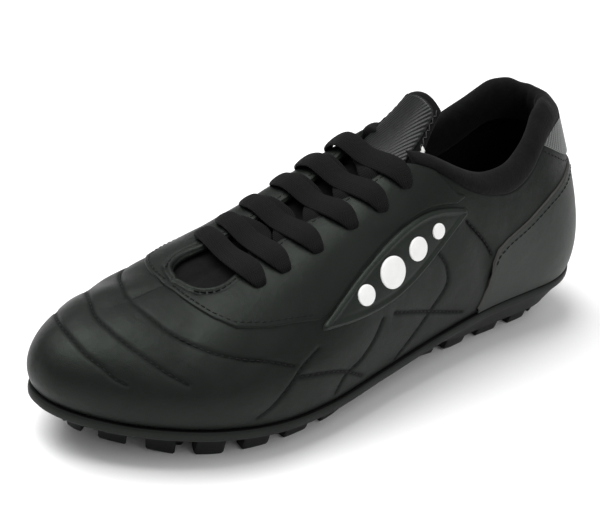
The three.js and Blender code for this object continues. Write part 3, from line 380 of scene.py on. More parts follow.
class Net:
    """Gathers grids of points into one mesh, welding points that meet"""

    def __init__(self):
        self.points = []
        self.faces = []
        self.slots = []
        self.values = {}
        self.count = 0

    def grid(self, points, closed_u=False, closed_v=False, flip=False, slot=0, **values):
        """Adds a grid of points, closed on itself or not, with named values for the finish"""
        rows, columns = points.shape[:2]
        index = np.arange(rows * columns).reshape(rows, columns) + self.count
        if closed_u:
            index = np.concatenate([index, index[:1]], axis=0)
        if closed_v:
            index = np.concatenate([index, index[:, :1]], axis=1)
        quads = np.stack([index[:-1, :-1], index[1:, :-1], index[1:, 1:], index[:-1, 1:]], axis=-1)
        quads = quads.reshape(-1, 4)
        if flip:
            quads = quads[:, ::-1]
        self.faces.extend(quads.tolist())
        self.slots.extend([slot] * len(quads))
        self.points.append(points.reshape(-1, 3))
        for name in set(values) | set(self.values):
            have = self.values.setdefault(name, [np.zeros(self.count)] if self.count else [])
            have.append(np.broadcast_to(values.get(name, 0.0), (rows, columns)).ravel())
        self.count += rows * columns

    def cap(self, ring, flip, steps=1):
        """Closes a ring towards its middle"""
        middle = ring.mean(axis=0)
        rows = [ring * share + middle * (1 - share) for share in np.linspace(1, 0, steps + 1)]
        self.grid(np.stack(rows, axis=0), closed_v=True, flip=flip)

    def piece(self, name, materials, slot, *nodes, weld=True):
        """Makes the object, which may replace nodes of the frame"""
        points = to_row(np.concatenate(self.points))
        kept = target = np.arange(len(points))
        if weld:
            keys = np.round(points / WELD_DISTANCE).astype(np.int64)
            _, kept, target = np.unique(keys, axis=0, return_index=True, return_inverse=True)
            target = target.ravel()
        faces = []
        slots = []
        for face, face_slot in zip(self.faces, self.slots):
            corners = list(dict.fromkeys(int(target[corner]) for corner in face))
            if len(corners) > 2:
                faces.append(corners)
                slots.append(face_slot)
        mesh = bpy.data.meshes.new(name)
        mesh.from_pydata(points[kept].tolist(), [], faces)
        for value_name, parts in self.values.items():
            data = np.concatenate(parts)[kept].astype(np.float32)
            mesh.attributes.new(value_name, "FLOAT", "POINT").data.foreach_set("value", data)
        for material in materials:
            mesh.materials.append(material)
        mesh.polygons.foreach_set("material_index", slots)
        mesh.polygons.foreach_set("use_smooth", [True] * len(faces))
        mesh.update()
        thing = placed(name, mesh)
        if nodes:
            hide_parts(*nodes)
        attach(thing, "root")
        return thing


class Finish:
    """A node material built up step by step round one Principled shader"""

    def __init__(self, name, base, roughness):
        self.material = bpy.data.materials.new(name)
        self.material.use_nodes = True
        self.tree = self.material.node_tree
        self.shader = self.tree.nodes["Principled BSDF"]
        self.shader.inputs["Base Color"].default_value = (*base, 1.0)
        self.shader.inputs["Roughness"].default_value = roughness
        self.coordinates = self.tree.nodes.new("ShaderNodeTexCoord").outputs["Object"]

    def node(self, kind, links=None, **settings):
        node = self.tree.nodes.new(kind)
        for key, value in settings.items():
            if key in node.inputs:
                node.inputs[key].default_value = value
            else:
                setattr(node, key, value)
        for key, source in (links or {}).items():
            self.tree.links.new(source, node.inputs[key])
        return node

    def constant(self, **values):
        for key, value in values.items():
            self.shader.inputs[key.replace("_", " ")].default_value = value

    def feed(self, socket, source):
        self.tree.links.new(source, self.shader.inputs[socket])

    def noise(self, scale, detail):
        return self.node("ShaderNodeTexNoise", {"Vector": self.coordinates},
                         Scale=scale, Detail=detail, Roughness=0.55).outputs["Fac"]

    def cells(self, scale, feature="DISTANCE_TO_EDGE"):
        return self.node("ShaderNodeTexVoronoi", {"Vector": self.coordinates},
                         feature=feature, Scale=scale).outputs["Distance"]

    def ramp(self, source, low, high, to_low=0.0, to_high=1.0):
        ends = {"From Min": low, "From Max": high, "To Min": to_low, "To Max": to_high}
        return self.node("ShaderNodeMapRange", {"Value": source}, **ends).outputs["Result"]

    def grain(self):
        """Fine pebbles of leather"""
        return self.ramp(self.cells(1500.0), 0.0, 0.16)

    def math(self, operation, first, second):
        node = self.node("ShaderNodeMath", operation=operation)
        for i, value in enumerate((first, second)):
            if isinstance(value, (int, float)):
                node.inputs[i].default_value = value
            else:
                self.tree.links.new(value, node.inputs[i])
        return node.outputs["Value"]

    def times(self, first, second):
        return self.math("MULTIPLY", first, second)

    def plus(self, first, second):
        return self.math("ADD", first, second)

    def wave(self, source, rate):
        return self.math("SINE", self.times(source, rate), 0.0)

    def attribute(self, name):
        return self.node("ShaderNodeAttribute", attribute_name=name).outputs["Fac"]

    def tint(self, source, low, high, base, dark, light):
        """A base colour from dark to light as a source goes from low to high"""
        return self.mix(self.ramp(source, low, high), shade(base, dark), shade(base, light))

    def mix(self, factor, first, second):
        node = self.node("ShaderNodeMix", {"Factor": factor}, data_type="RGBA")
        for key, value in (("A", first), ("B", second)):
            socket = [s for s in node.inputs if s.name == key and s.type == "RGBA"][0]
            if isinstance(value, tuple):
                socket.default_value = (*value, 1.0)
            else:
                self.tree.links.new(value, socket)
        return [s for s in node.outputs if s.type == "RGBA"][0]

    def bump(self, *layers):
        """Stacks bumps, each a height and the distance in metres that it stands for"""
        normal = None
        for height, distance in layers:
            node = self.node("ShaderNodeBump", {"Height": height}, Distance=distance, Strength=1.0)
            if normal is not None:
                self.tree.links.new(normal, node.inputs["Normal"])
            normal = node.outputs["Normal"]
        self.feed("Normal", normal)


# Most of a noise lies between these values
NOISE_SPAN = (0.3, 0.7)

# The black of the shoe reflects a little greener than grey
COOL_GLOSS = (0.89, 1.0, 0.91, 1.0)


def shade(base, factor):
    return tuple(min(channel * factor, 1.0) for channel in base)


def leather_finish(name, roughness=0.42, factor=1.0):
    """Synthetic leather: fine pebbled grain, slight waves, small differences of gloss, and painted shade
    along the seam valleys
    """
    base = shade(colour("leather"), factor)
    finish = Finish(name, base, roughness)
    seam = finish.attribute("seam")
    face = finish.tint(finish.noise(38.0, 3.0), *NOISE_SPAN, base, 0.82, 1.2)
    # Painted shade: the base colour darkens to a fifth along the seam valleys, where the grooves lie in shade
    finish.feed("Base Color", finish.mix(seam, face, shade(base, 0.2)))
    gloss = finish.ramp(finish.noise(70.0, 2.0), *NOISE_SPAN, roughness - 0.05, roughness + 0.07)
    finish.feed("Roughness", finish.plus(gloss, finish.times(seam, 0.45)))
    finish.bump((finish.noise(130.0, 2.0), 0.0003), (finish.grain(), 0.00003))
    finish.constant(Specular_IOR_Level=0.17, Specular_Tint=COOL_GLOSS)
    return finish.material


def counter_finish(name):
    """Smoother leather of the heel counter with a paler raw edge"""
    base = shade(colour("leather"), 1.7)
    finish = Finish(name, base, 0.46)
    face = finish.tint(finish.noise(38.0, 3.0), *NOISE_SPAN, base, 0.85, 1.15)
    finish.feed("Base Color", finish.mix(finish.attribute("edge"), face, (0.048, 0.043, 0.041)))
    finish.bump((finish.noise(130.0, 2.0), 0.0003), (finish.grain(), 0.00004))
    finish.constant(Specular_IOR_Level=0.35, Specular_Tint=COOL_GLOSS)
    return finish.material


def lining_finish(name, factor=1.0):
    """Knitted lining: rows of tiny loops and a soft sheen"""
    base = shade(colour("lining"), factor)
    finish = Finish(name, base, 0.9)
    finish.feed("Base Color", finish.tint(finish.noise(240.0, 2.0), *NOISE_SPAN, base, 0.7, 1.6))
    finish.bump((finish.noise(90.0, 2.0), 0.0006), (finish.cells(900.0, "F1"), 0.00012))
    finish.constant(Sheen_Weight=0.04, Sheen_Roughness=0.5, Specular_IOR_Level=0.12)
    return finish.material


def weave_finish(name):
    """Coarse twill under a clear film, from the along and across values of the mesh"""
    base = colour("weave")
    finish = Finish(name, base, 0.38)
    across = finish.attribute("across")
    slant = finish.plus(finish.attribute("along"), finish.times(across, 0.55))
    height = finish.plus(finish.wave(slant, 4.2), finish.times(finish.wave(across, 5.6), 0.5))
    finish.feed("Base Color", finish.tint(height, -1.2, 1.2, base, 0.45, 2.0))
    finish.bump((height, 0.00012))
    finish.constant(Coat_Weight=0.15, Coat_Roughness=0.35, Specular_IOR_Level=0.3)
    return finish.material


def film_finish(name):
    """Brushed film with fine slanted lines"""
    base = colour("film")
    finish = Finish(name, base, 0.3)
    along = finish.attribute("along")
    across = finish.attribute("across")
    vector = finish.node("ShaderNodeCombineXYZ", {"X": finish.times(along, 0.12), "Y": across})
    streak = finish.node("ShaderNodeTexNoise", {"Vector": vector.outputs["Vector"]}, Scale=2.4, Detail=4.0)
    streak = streak.outputs["Fac"]
    rib = finish.wave(finish.plus(finish.times(along, 0.55), across), 4.2)
    tone = finish.plus(streak, finish.times(rib, 0.14))
    finish.feed("Base Color", finish.tint(tone, 0.35, 0.75, base, 0.5, 1.9))
    finish.feed("Roughness", finish.ramp(streak, *NOISE_SPAN, 0.24, 0.42))
    finish.bump((rib, 0.00006))
    finish.constant(Coat_Weight=0.04, Coat_Roughness=0.25, Specular_IOR_Level=0.18)
    return finish.material


def lace_finish(name):
    """Flat braid: slanted yarns that meet in the middle, with fuzzy gloss"""
    base = colour("lace")
    finish = Finish(name, base, 0.78)
    across = finish.attribute("across")
    fold = finish.math("ABSOLUTE", across, 0.0)
    yarn = finish.wave(finish.plus(finish.attribute("along"), fold), 6.5)
    height = finish.plus(yarn, finish.times(finish.wave(across, 7.5), 0.6))
    finish.feed("Base Color", finish.tint(height, -1.4, 1.4, base, 0.45, 1.7))
    finish.bump((height, 0.00011))
    finish.constant(Sheen_Weight=0.02, Sheen_Roughness=0.45, Specular_IOR_Level=0.12)
    return finish.material


def rubber_finish(name):
    """Moulded rubber with a faint blasted texture"""
    base = colour("rubber")
    finish = Finish(name, base, 0.55)
    cloud = finish.noise(60.0, 3.0)
    finish.feed("Base Color", finish.tint(cloud, *NOISE_SPAN, base, 0.8, 1.3))
    finish.feed("Roughness", finish.ramp(cloud, *NOISE_SPAN, 0.48, 0.64))
    finish.bump((finish.noise(1400.0, 2.0), 0.00005))
    finish.constant(Specular_IOR_Level=0.20, Specular_Tint=COOL_GLOSS)
    return finish.material


def disc_finish(name):
    """White transfer with a slight orange-peel skin"""
    base = colour("disc")
    finish = Finish(name, base, 0.4)
    finish.feed("Base Color", finish.tint(finish.noise(300.0, 2.0), *NOISE_SPAN, base, 0.95, 1.0))
    finish.bump((finish.noise(900.0, 2.0), 0.00003))
    finish.constant(Coat_Weight=0.2, Coat_Roughness=0.25)
    return finish.material


def tab_finish(name):
    """White woven cloth"""
    finish = Finish(name, (0.6, 0.6, 0.58), 0.85)
    finish.feed("Base Color", finish.mix(finish.noise(800.0, 2.0), (0.5, 0.5, 0.48), (0.7, 0.7, 0.68)))
    finish.bump((finish.cells(1800.0, "F1"), 0.00005))
    return finish.material


def thread_finish(name, tone=0.004):
    """Dull spun thread"""
    base = (tone, tone, tone)
    finish = Finish(name, base, 0.5)
    finish.feed("Base Color", finish.mix(finish.noise(2500.0, 1.0), shade(base, 0.5), shade(base, 1.7)))
    finish.bump((finish.noise(3000.0, 1.0), 0.00003))
    finish.constant(Specular_IOR_Level=0.15)
    return finish.material


def material(name, maker, *details):
    """The material of a name, made at its first use"""
    known = bpy.data.materials.get(name)
    return known if known else maker(name, *details)


# Girth along which turns are spaced evenly
SPACING_GIRTH = 0.35


def loop_turns(count):
    """Turns that share the loop's outline out evenly"""
    fine = np.linspace(0, 2, 4001)
    run = run_of(loop_point(fine, np.full_like(fine, SPACING_GIRTH)))
    return np.interp(np.linspace(0, run[-1], count, endpoint=False), run, fine)


def places_of(turns):
    """Places of turns on either side"""
    wrapped = np.mod(turns, 2.0)
    return place_of_turn(np.where(wrapped > 1, 2 - wrapped, wrapped))


def smooth_path(points, count):
    """Even samples of a smooth open curve through points"""
    points = np.asarray(points, float)
    run = run_of(points)
    at = np.linspace(0, run[-1], count)
    rows = np.concatenate([run[:, None], points], axis=1)
    return np.stack([smooth_rows(rows, k, at) for k in range(1, rows.shape[1])], axis=1), at


def toe_arcs():
    """Points and normals along the stitched arcs over the toe"""
    arcs = []
    for line in TOE_ARCS:
        place, side, girth = np.array(line, float).T
        turns = turn_of(place, side)
        knots = np.concatenate([loop_point(turns, girth), soft_normal(turns, girth)], axis=1)
        samples, _ = smooth_path(knots, 180)
        arcs.append((samples[:, :3], samples[:, 3:]))
    return arcs


def stitch_runs():
    runs = [dense(line, side)[2] for line in STITCH_LINES.values() for side in SIDES]
    return runs + [points for points, _ in toe_arcs()]


def quilt_distance(points):
    """Distance to the nearest stitched line of the quilting"""
    return NearLines(stitch_runs()).distance(points)


# Distance over which a padded field rises from its seam, and how deep the seam pulls the leather
FIELD_REACH = 6.0
VALLEY_DEPTH = 0.6


def relief(points, places, girths, quilt):
    """Height of the leather's relief in millimetres: quilting, its valleys and the creases"""
    field = 1 - np.exp(-(quilt / FIELD_REACH) ** 1.5)
    valley = bell(quilt, 0.0, 0.45 * size("groove_width"))
    height = size("quilt_puff") * (field - 0.6) - VALLEY_DEPTH * valley
    for line, depth, half_width in CREASES:
        away = NearLines([dense(line, side)[2] for side in SIDES]).distance(points)
        height -= depth * bell(away, 0.0, half_width)
    calm = np.clip((cut_edge(places) - girths) / 0.05, 0.0, 1.0)
    base = np.clip(girths / 0.05, 0.0, 1.0)
    return height * calm * base


# Five places along a stitch, with the height and the girth of its thread there in thread radii
STITCH_SHARES = np.array([0.0, 0.12, 0.5, 0.88, 1.0])
STITCH_HEIGHTS = np.array([-1.2, 0.1, 0.55, 0.1, -1.2])
STITCH_GIRTHS = np.array([0.5, 1.0, 1.1, 1.0, 0.5])


def one_stitch(net, middle, up):
    """A rounded thread along five points, dipping at both ends"""
    radius = size("thread_radius")
    up = unit(up)
    across = np.cross(unit(np.gradient(middle, axis=0)), up)
    angles = np.linspace(0, 2 * np.pi, 6, endpoint=False)[:, None]
    rim = across[:, None] * np.cos(angles) + up[:, None] * np.sin(angles)
    centres = middle + up * (radius * STITCH_HEIGHTS)[:, None]
    net.grid(centres[:, None] + (radius * STITCH_GIRTHS)[:, None, None] * rim, closed_v=True)


def stitches(net, points, normals):
    """Adds one thread for each stitch along a run of points with their normals"""
    length = size("stitch_length")
    gap = size("stitch_gap")
    run = run_of(points)
    start = gap
    while start + length < run[-1]:
        at = start + length * STITCH_SHARES
        one_stitch(net, at_run(at, run, points), at_run(at, run, normals))
        start += length + gap


def sew(net, line, side, distance):
    """Stitches along a line of (place, girth), some millimetres above the last"""
    places, girths, _ = dense(line, side, 1.2)
    turns = turn_of(places, side)
    normals = soft_normal(turns, girths)
    stitches(net, loop_point(turns, girths) + normals * distance, normals)


class TURFSHOE_OT_upper(bpy.types.Operator):
    """Quilted synthetic upper with its knitted inside"""

    bl_idname = "turf_shoe.upper"
    bl_label = "Upper"

    COLUMNS = 640
    INSIDE_ROWS = 26
    # The outer rows lie closer together at the cut edge
    SHARES = (*np.linspace(0, 0.94, 104), *np.linspace(0.955, 1.0, 5))
    EDGE_ROLL = 0.5
    SEAM_SHADE_REACH = 0.9

    def execute(self, context):
        net = Net()
        turns = loop_turns(self.COLUMNS)
        places = places_of(turns)
        shares = np.array(self.SHARES)
        edge = cut_edge(places)
        girths = edge[:, None] * shares
        base, normals = sheet(turns, girths)
        quilt = quilt_distance(base)
        height = relief(base, places[:, None], girths, quilt)
        closed = np.where(edge >= 1, 1.0, 0.0)[:, None]
        merge = closed * np.clip((shares - 0.96) / 0.04, 0, 1)
        roll = (1 - closed) * np.clip((shares - 0.985) / 0.015, 0, 1) ** 2
        outer = base + normals * (height * (1 - merge) - self.EDGE_ROLL * roll)[..., None]
        # The seam value masks the painted shade of the seam valleys in the leather finish
        net.grid(outer, closed_u=True, flip=True, seam=bell(quilt, 0.0, self.SEAM_SHADE_REACH))
        inside, outwards = sheet(turns[::2], edge[::2, None] * np.linspace(0, 1, self.INSIDE_ROWS))
        inside = inside - outwards * WALL
        net.grid(inside, closed_u=True, slot=1)
        top = np.stack([outer[::2, -1], (outer[::2, -1] + inside[:, -1]) / 2, inside[:, -1]], axis=1)
        net.grid(top, closed_u=True, flip=True)
        net.grid(np.stack([outer[::2, 0], inside[:, 0]], axis=1), closed_u=True, slot=1)
        finishes = [material("quilted_leather", leather_finish), material("knitted_lining", lining_finish)]
        net.piece("upper_leather", finishes, "synthetic_leather", "upper")
        return {"FINISHED"}


def border_profile(distance, thickness, radius):
    """Height of a sheet that rounds down to nothing at its border"""
    s = np.clip(distance / radius, 0.0, 1.0)
    return thickness * np.sqrt(np.clip(1 - (1 - s) ** 2, 0.0, 1.0))


# Heights over the last of a sewn sheet's foot and of its sunk border, and of a thread over its ground
SHEET_SEAT = 0.1
SUNK = -0.3
THREAD_SEAT = 0.1


def overlay_grid(net, turns, lows, highs, border, radius, rows, rim=None):
    """Sheet over the last between two girths, rounded down along its border lines.
    With a rim, which adds height round an opening, it also follows the leather's relief."""
    girths = between(lows, highs, crowded(rows))
    base, normals = sheet(turns, girths)
    away = border.distance(base)
    height = SHEET_SEAT + border_profile(away, size("overlay_thickness"), radius)
    dipped = away < 0.25
    if rim is None:
        height = np.where(dipped, SUNK, height)
    else:
        soft = 0.8 * relief(base, places_of(turns)[:, None], girths, quilt_distance(base))
        height = np.where(dipped, SUNK, height + rim(base) + soft)
    run = run_of(base[:, rows // 2])[:, None]
    rise = np.stack([run_of(row) for row in base])
    net.grid(base + normals * height[..., None], flip=True, along=run, across=rise,
             edge=np.clip(1.0 - (away - 0.5) / 0.5, 0.0, 1.0))


def border_of(rows):
    """Border along a table of (place, girth) on both sides, joined in straight lines"""
    places = np.linspace(rows[0][0], rows[-1][0], 320)
    return NearLines([on_last(places, side, straight_rows(rows, places)) for side in SIDES])


def turns_between(low, high, step):
    """Turns of the outer side between two places, a step apart in millimetres"""
    fine = np.linspace(turn_of(low, 1), turn_of(high, 1), 800)
    run = run_of(loop_point(fine, np.full_like(fine, SPACING_GIRTH)))
    count = max(int((high - low) * LAST_LENGTH / step), 8)
    return np.interp(np.linspace(0, run[-1], count), run, fine)


def turns_round_heel(end, step):
    half = turns_between(0.0, end, step)
    return np.concatenate([-half[:0:-1], half])


def on_side(turns, side):
    """Turns of the outer side, or the same ones mirrored to the inner side"""
    return turns if side > 0 else 2 - turns[::-1]


class TURFSHOE_OT_eyestay(bpy.types.Operator):
    """Overlay round the throat with its stitched edge"""

    bl_idname = "turf_shoe.eyestay"
    bl_label = "Eyestay"

    def low_edge(self, places):
        low = straight_rows(EYESTAY_LOW, places)
        on_badge = (places > BADGE_REAR) & (places < BADGE_FRONT)
        return np.where(on_badge, np.maximum(low, badge_edges(places)[1] + BADGE_TIP), low)

    def high_edge(self, places):
        high = np.minimum(cut_edge(places), straight_rows(EYESTAY_FOLD, places))
        return np.maximum(high, self.low_edge(places) + 0.002)

    def execute(self, context):
        net = Net()
        start = EYESTAY_LOW[0][0]
        end = EYESTAY_LOW[-1][0]
        outer_turns = turns_between(start, end, 1.3)
        fine = np.linspace(start, end, 900)
        back = np.linspace(start, CUT_EDGE[-1][0], 900)
        throat = [on_last(back, side, self.high_edge(back)) for side in SIDES]
        border = NearLines([on_last(fine, side, self.low_edge(fine)) for side in SIDES] + throat)
        mouth = NearLines(throat)

        def throat_rim(points):
            away = mouth.distance(points)
            front = np.clip((points[..., 0] / LAST_LENGTH - 0.68) / 0.06, 0.0, 1.0)
            return front * (0.55 * bell(away, 1.6, 0.9) - 0.35 * bell(away, 3.6, 0.8))

        for side in SIDES:
            turns = on_side(outer_turns, side)
            places = places_of(turns)
            overlay_grid(net, turns, self.low_edge(places), self.high_edge(places), border, 1.1, 52,
                         throat_rim)
        finish = material("sewn_leather", leather_finish)
        net.piece("eyestay_leather", [finish], "overlay_leather", "eyestay")
        threads = Net()
        above = size("overlay_thickness") + THREAD_SEAT
        for side in SIDES:
            places = np.linspace(BADGE_FRONT + BADGE_TIP, end, 200)
            line = np.stack([places, self.low_edge(places) + 0.028], axis=1)
            sew(threads, line[line[:, 1] < 0.995], side, above)
            places = np.linspace(0.43, 0.85, 120)
            sew(threads, np.stack([places, cut_edge(places) - 0.03], axis=1), side, above)
        threads.piece("eyestay_stitches", [material("sewing_thread", thread_finish)], "lace", weld=False)
        return {"FINISHED"}


class TURFSHOE_OT_heel(bpy.types.Operator):
    """Heel counter and the woven heel tab above it"""

    bl_idname = "turf_shoe.heel"
    bl_label = "Heel Pieces"

    def execute(self, context):
        turns = turns_round_heel(COUNTER_HIGH[-1][0], 1.2)
        high = np.maximum(straight_rows(COUNTER_HIGH, places_of(turns)), 0.006)
        net = Net()
        overlay_grid(net, turns, np.full_like(turns, 0.004), high, border_of(COUNTER_HIGH), 1.1, 48)
        finish = material("counter_leather", counter_finish)
        net.piece("counter_leather", [finish], "overlay_leather", "heel_counter")
        turns = turns_round_heel(HEEL_TAB_LOW[-1][0], 0.9)
        places = places_of(turns)
        net = Net()
        overlay_grid(net, turns, straight_rows(HEEL_TAB_LOW, places), cut_edge(places) + 0.004,
                     border_of(HEEL_TAB_LOW), 1.0, 36)
        net.piece("tab_weave", [material("tab_weave", weave_finish)], "heel_weave", "heel_tab")
        threads = Net()
        above = size("overlay_thickness") + THREAD_SEAT
        seams = ((COUNTER_HIGH, 0.25, 90, 0.03, above), (HEEL_TAB_LOW, 0.1, 40, 0.022, THREAD_SEAT))
        for side in SIDES:
            for rows, end, count, inset, distance in seams:
                places = np.linspace(0.0, end, count)
                line = np.stack([places, straight_rows(rows, places) - inset], axis=1)
                sew(threads, line[line[:, 1] > 0.03], side, distance)
        threads.piece("heel_stitches", [material("sewing_thread", thread_finish)], "lace", weld=False)
        return {"FINISHED"}


class TURFSHOE_OT_badges(bpy.types.Operator):
    """Pointed side plates with a raised rim, and the discs on them"""

    bl_idname = "turf_shoe.badges"
    bl_label = "Side Plates"

    # Share of the plate's length and diameter of each disc
    DISCS = ((0.22, 7.0), (0.37, 10.5), (0.55, 14.0), (0.73, 9.0))
    # Share of the radius and height over the plate, from the middle of a disc outwards
    DISC_SECTION = ((0.0, 0.95), (0.3, 0.95), (0.55, 0.93), (0.75, 0.9), (0.88, 0.86), (0.95, 0.8),
                    (0.985, 0.68), (1.0, 0.45), (1.0, -0.2))

    def execute(self, context):
        thickness = size("badge_thickness")
        fine = np.linspace(BADGE_REAR, BADGE_FRONT, 500)
        for side, side_name in zip(SIDES, ("outer", "inner")):
            lines = [on_last(fine, side, girths) for girths in badge_edges(fine)]
            for tip in (BADGE_REAR, BADGE_FRONT):
                lines.append(on_last(np.full(12, tip), side, np.linspace(*badge_edges(tip), 12)))
            turns = on_side(turns_between(BADGE_REAR, BADGE_FRONT, 1.0), side)
            base, normals = sheet(turns, between(*badge_edges(places_of(turns)), crowded(46)))
            away = NearLines(lines).distance(base)
            rim = 0.6 * bell(away, 1.7, 0.8) - 0.15 * bell(away, 3.6, 0.8)
            height = SHEET_SEAT + border_profile(away, thickness - 0.35, 1.0) + rim
            height = np.where(away < 0.2, SUNK, height)
            net = Net()
            net.grid(base + normals * height[..., None], flip=True)
            finish = material("plate_leather", leather_finish, 0.34, 2.7)
            net.piece(f"side_plate_{side_name}", [finish], "overlay_leather", f"badge_{side_name}")
            for number, (along, diameter) in enumerate(self.DISCS, 1):
                self.disc(side, f"{side_name}_{number}", along, diameter / 2, thickness - 0.25)
        return {"FINISHED"}

    def disc(self, side, name, along, radius, seat):
        """Round disc that follows the last's form under it"""
        place = BADGE_REAR + (BADGE_FRONT - BADGE_REAR) * along
        girth = sum(badge_edges(place)) / 2
        step = 1e-3
        centre = on_last(place, side, girth)
        by_place = (on_last(place + step, side, girth) - centre) / step
        by_girth = (on_last(place, side, girth + step) - centre) / step
        ahead = unit(by_place)
        upward = unit(by_girth - ahead * (by_girth @ ahead))
        solve = np.linalg.inv([[by_place @ ahead, by_girth @ ahead], [by_place @ upward, by_girth @ upward]])
        rings, heights = np.array(self.DISC_SECTION).T
        angles = np.linspace(0, 2 * np.pi, 40, endpoint=False)
        flat_x = radius * rings[:, None] * np.cos(angles)
        flat_y = radius * rings[:, None] * np.sin(angles)
        turns = turn_of(place + solve[0, 0] * flat_x + solve[0, 1] * flat_y, side)
        girths = girth + solve[1, 0] * flat_x + solve[1, 1] * flat_y
        points = loop_point(turns, girths) + loop_normal(turns, girths) * (seat + heights[:, None, None])
        net = Net()
        net.grid(points, closed_v=True, flip=side < 0)
        finish = material("disc_transfer", disc_finish)
        net.piece(f"disc_{name}", [finish], "white_transfer", f"emblem_{name}")


def closed_curve(points, count):
    """Even samples of a smooth closed curve through points"""
    points = np.asarray(points, float)
    samples = []
    for i in range(len(points)):
        a, b, c, d = (points[(i + k) % len(points)] for k in (-1, 0, 1, 2))
        for s in np.linspace(0, 1, 12, endpoint=False):
            samples.append(0.5 * ((2 * b) + (c - a) * s + (2 * a - 5 * b + 4 * c - d) * s * s
                                  + (3 * b - a - 3 * c + d) * s ** 3))
    ring = np.array(samples + samples[:1])
    run = run_of(ring)
    return at_run(np.linspace(0, run[-1], count, endpoint=False), run, ring)


class TURFSHOE_OT_collar(bpy.types.Operator):
    """Padded collar that rolls over the cut edge into the lining"""

    bl_idname = "turf_shoe.collar"
    bl_label = "Padded Collar"

    # Place where the collar ends, height of its roll, depth of its padding and lean of its heel
    END = 0.385
    RISE = 11.0
    DEPTH = 7.0
    LEAN = 3.5
    # Section in shares of rise and depth, and the lift of its crest from the heel forwards
    SECTION = ((0.0, -0.10), (0.22, -0.26), (0.55, -0.22), (0.88, 0.02), (1.0, 0.42), (0.86, 0.86),
               (0.42, 1.14), (-0.25, 1.12), (-0.8, 0.7), (-1.1, 0.42), (-1.1, 0.36), (-0.3, 0.37))
    CREST = ((0.0, 0.5), (0.02, 1.6), (0.05, 4.2), (0.09, 5.8), (0.15, 6.4), (0.205, 4.0), (0.25, 0.2),
             (0.31, -0.8), (0.4, 0.0))

    def execute(self, context):
        turns = turns_round_heel(self.END, 1.6)
        places = places_of(turns)
        edge = cut_edge(places)
        step = 0.02
        above_edge = loop_point(turns, edge + step) - loop_point(turns, edge)
        girth_per_mm = step / np.linalg.norm(above_edge, axis=1)
        fade = 1 - 0.6 * (places / self.END) ** 3
        up, inwards = closed_curve(self.SECTION, 44).T
        rise = up * (self.RISE * (0.75 + 0.25 * fade))[:, None]
        depth = self.DEPTH * inwards * np.where(inwards > 0.36, fade[:, None], 1.0)
        ripple = 0.25 * np.sin(turns * 90.0)[:, None] * np.clip(up, 0, 1)
        crest = np.clip((up + 0.3) / 1.3, 0.0, 1.0)
        lift = smooth_rows(self.CREST, 1, places) * np.where(np.mod(turns, 2.0) > 1, 1.0, 0.6)
        lean = self.LEAN * np.clip(1 - places / 0.1, 0.0, 1.0)[:, None] * crest
        points, normals = sheet(turns, edge[:, None] + rise * girth_per_mm[:, None], loop_normal)
        points = points - normals * (depth - ripple)[..., None]
        points = points + np.stack([lean, np.zeros_like(lean), lift[:, None] * crest], axis=-1)
        net = Net()
        net.grid(points, closed_v=True)
        net.cap(points[0], True, 2)
        net.cap(points[-1], False, 2)
        thing = net.piece("padded_collar", [material("collar_knit", lining_finish, 1.9)], "lining", "collar")
        return {"FINISHED"}


# Places of the tongue's top, of its hidden tip, of the start of its free end and of its film
TONGUE_TOP = 0.30
TONGUE_TIP = 0.905
FREE_FROM = 0.50
FILM_TOP = 0.308
FILM_LOW = 0.45
# Millimetres along the free end for the whole range of places
FREE_RUN = 240
# Way in which the free end faces
FACING = np.array([0.66, 0.0, 0.75])
TONGUE_EDGE = ((0.30, 0.76), (0.50, 0.76), (0.70, 0.74), (0.905, 0.80))


def free_share(place):
    """Share of the free end from its start to its top"""
    return (FREE_FROM - place) / (FREE_FROM - TONGUE_TOP)


def tongue_halves(s):
    """Half widths of the film and of the padded free end behind it, in millimetres"""
    film = 17.5 - 8.0 * s
    return film, film + 0.8 + 5.0 * bell(s, 0.5, 0.25)


def tongue_point(place, across, depth):
    """Point of the tongue: covered part on the last, free end on its own leaning line"""
    place, across, depth = together(place, across, depth)
    girth = 1 - (1 - smooth_rows(TONGUE_EDGE, 1, place)) * np.abs(across)
    turns = turn_of(place, np.where(across >= 0, 1, -1))
    covered = loop_point(turns, girth) - soft_normal(turns, girth) * (WALL + 0.9 + depth)[..., None]
    s = np.clip(free_share(place), 0.0, None)
    blend = eased((place - 0.43) / 0.07)[..., None]
    along = 0.484 + (0.342 - 0.484) * s
    half = tongue_halves(s)[1]
    crown = 0.10 + (0.04 - 0.10) * s
    height = 0.87 + (1.235 - 0.87) * s ** 1.4
    free = np.stack([along * LAST_LENGTH, across * half, (height - crown * across ** 2) * 100], axis=-1)
    return (free - FACING * depth[..., None]) * (1 - blend) + covered * blend


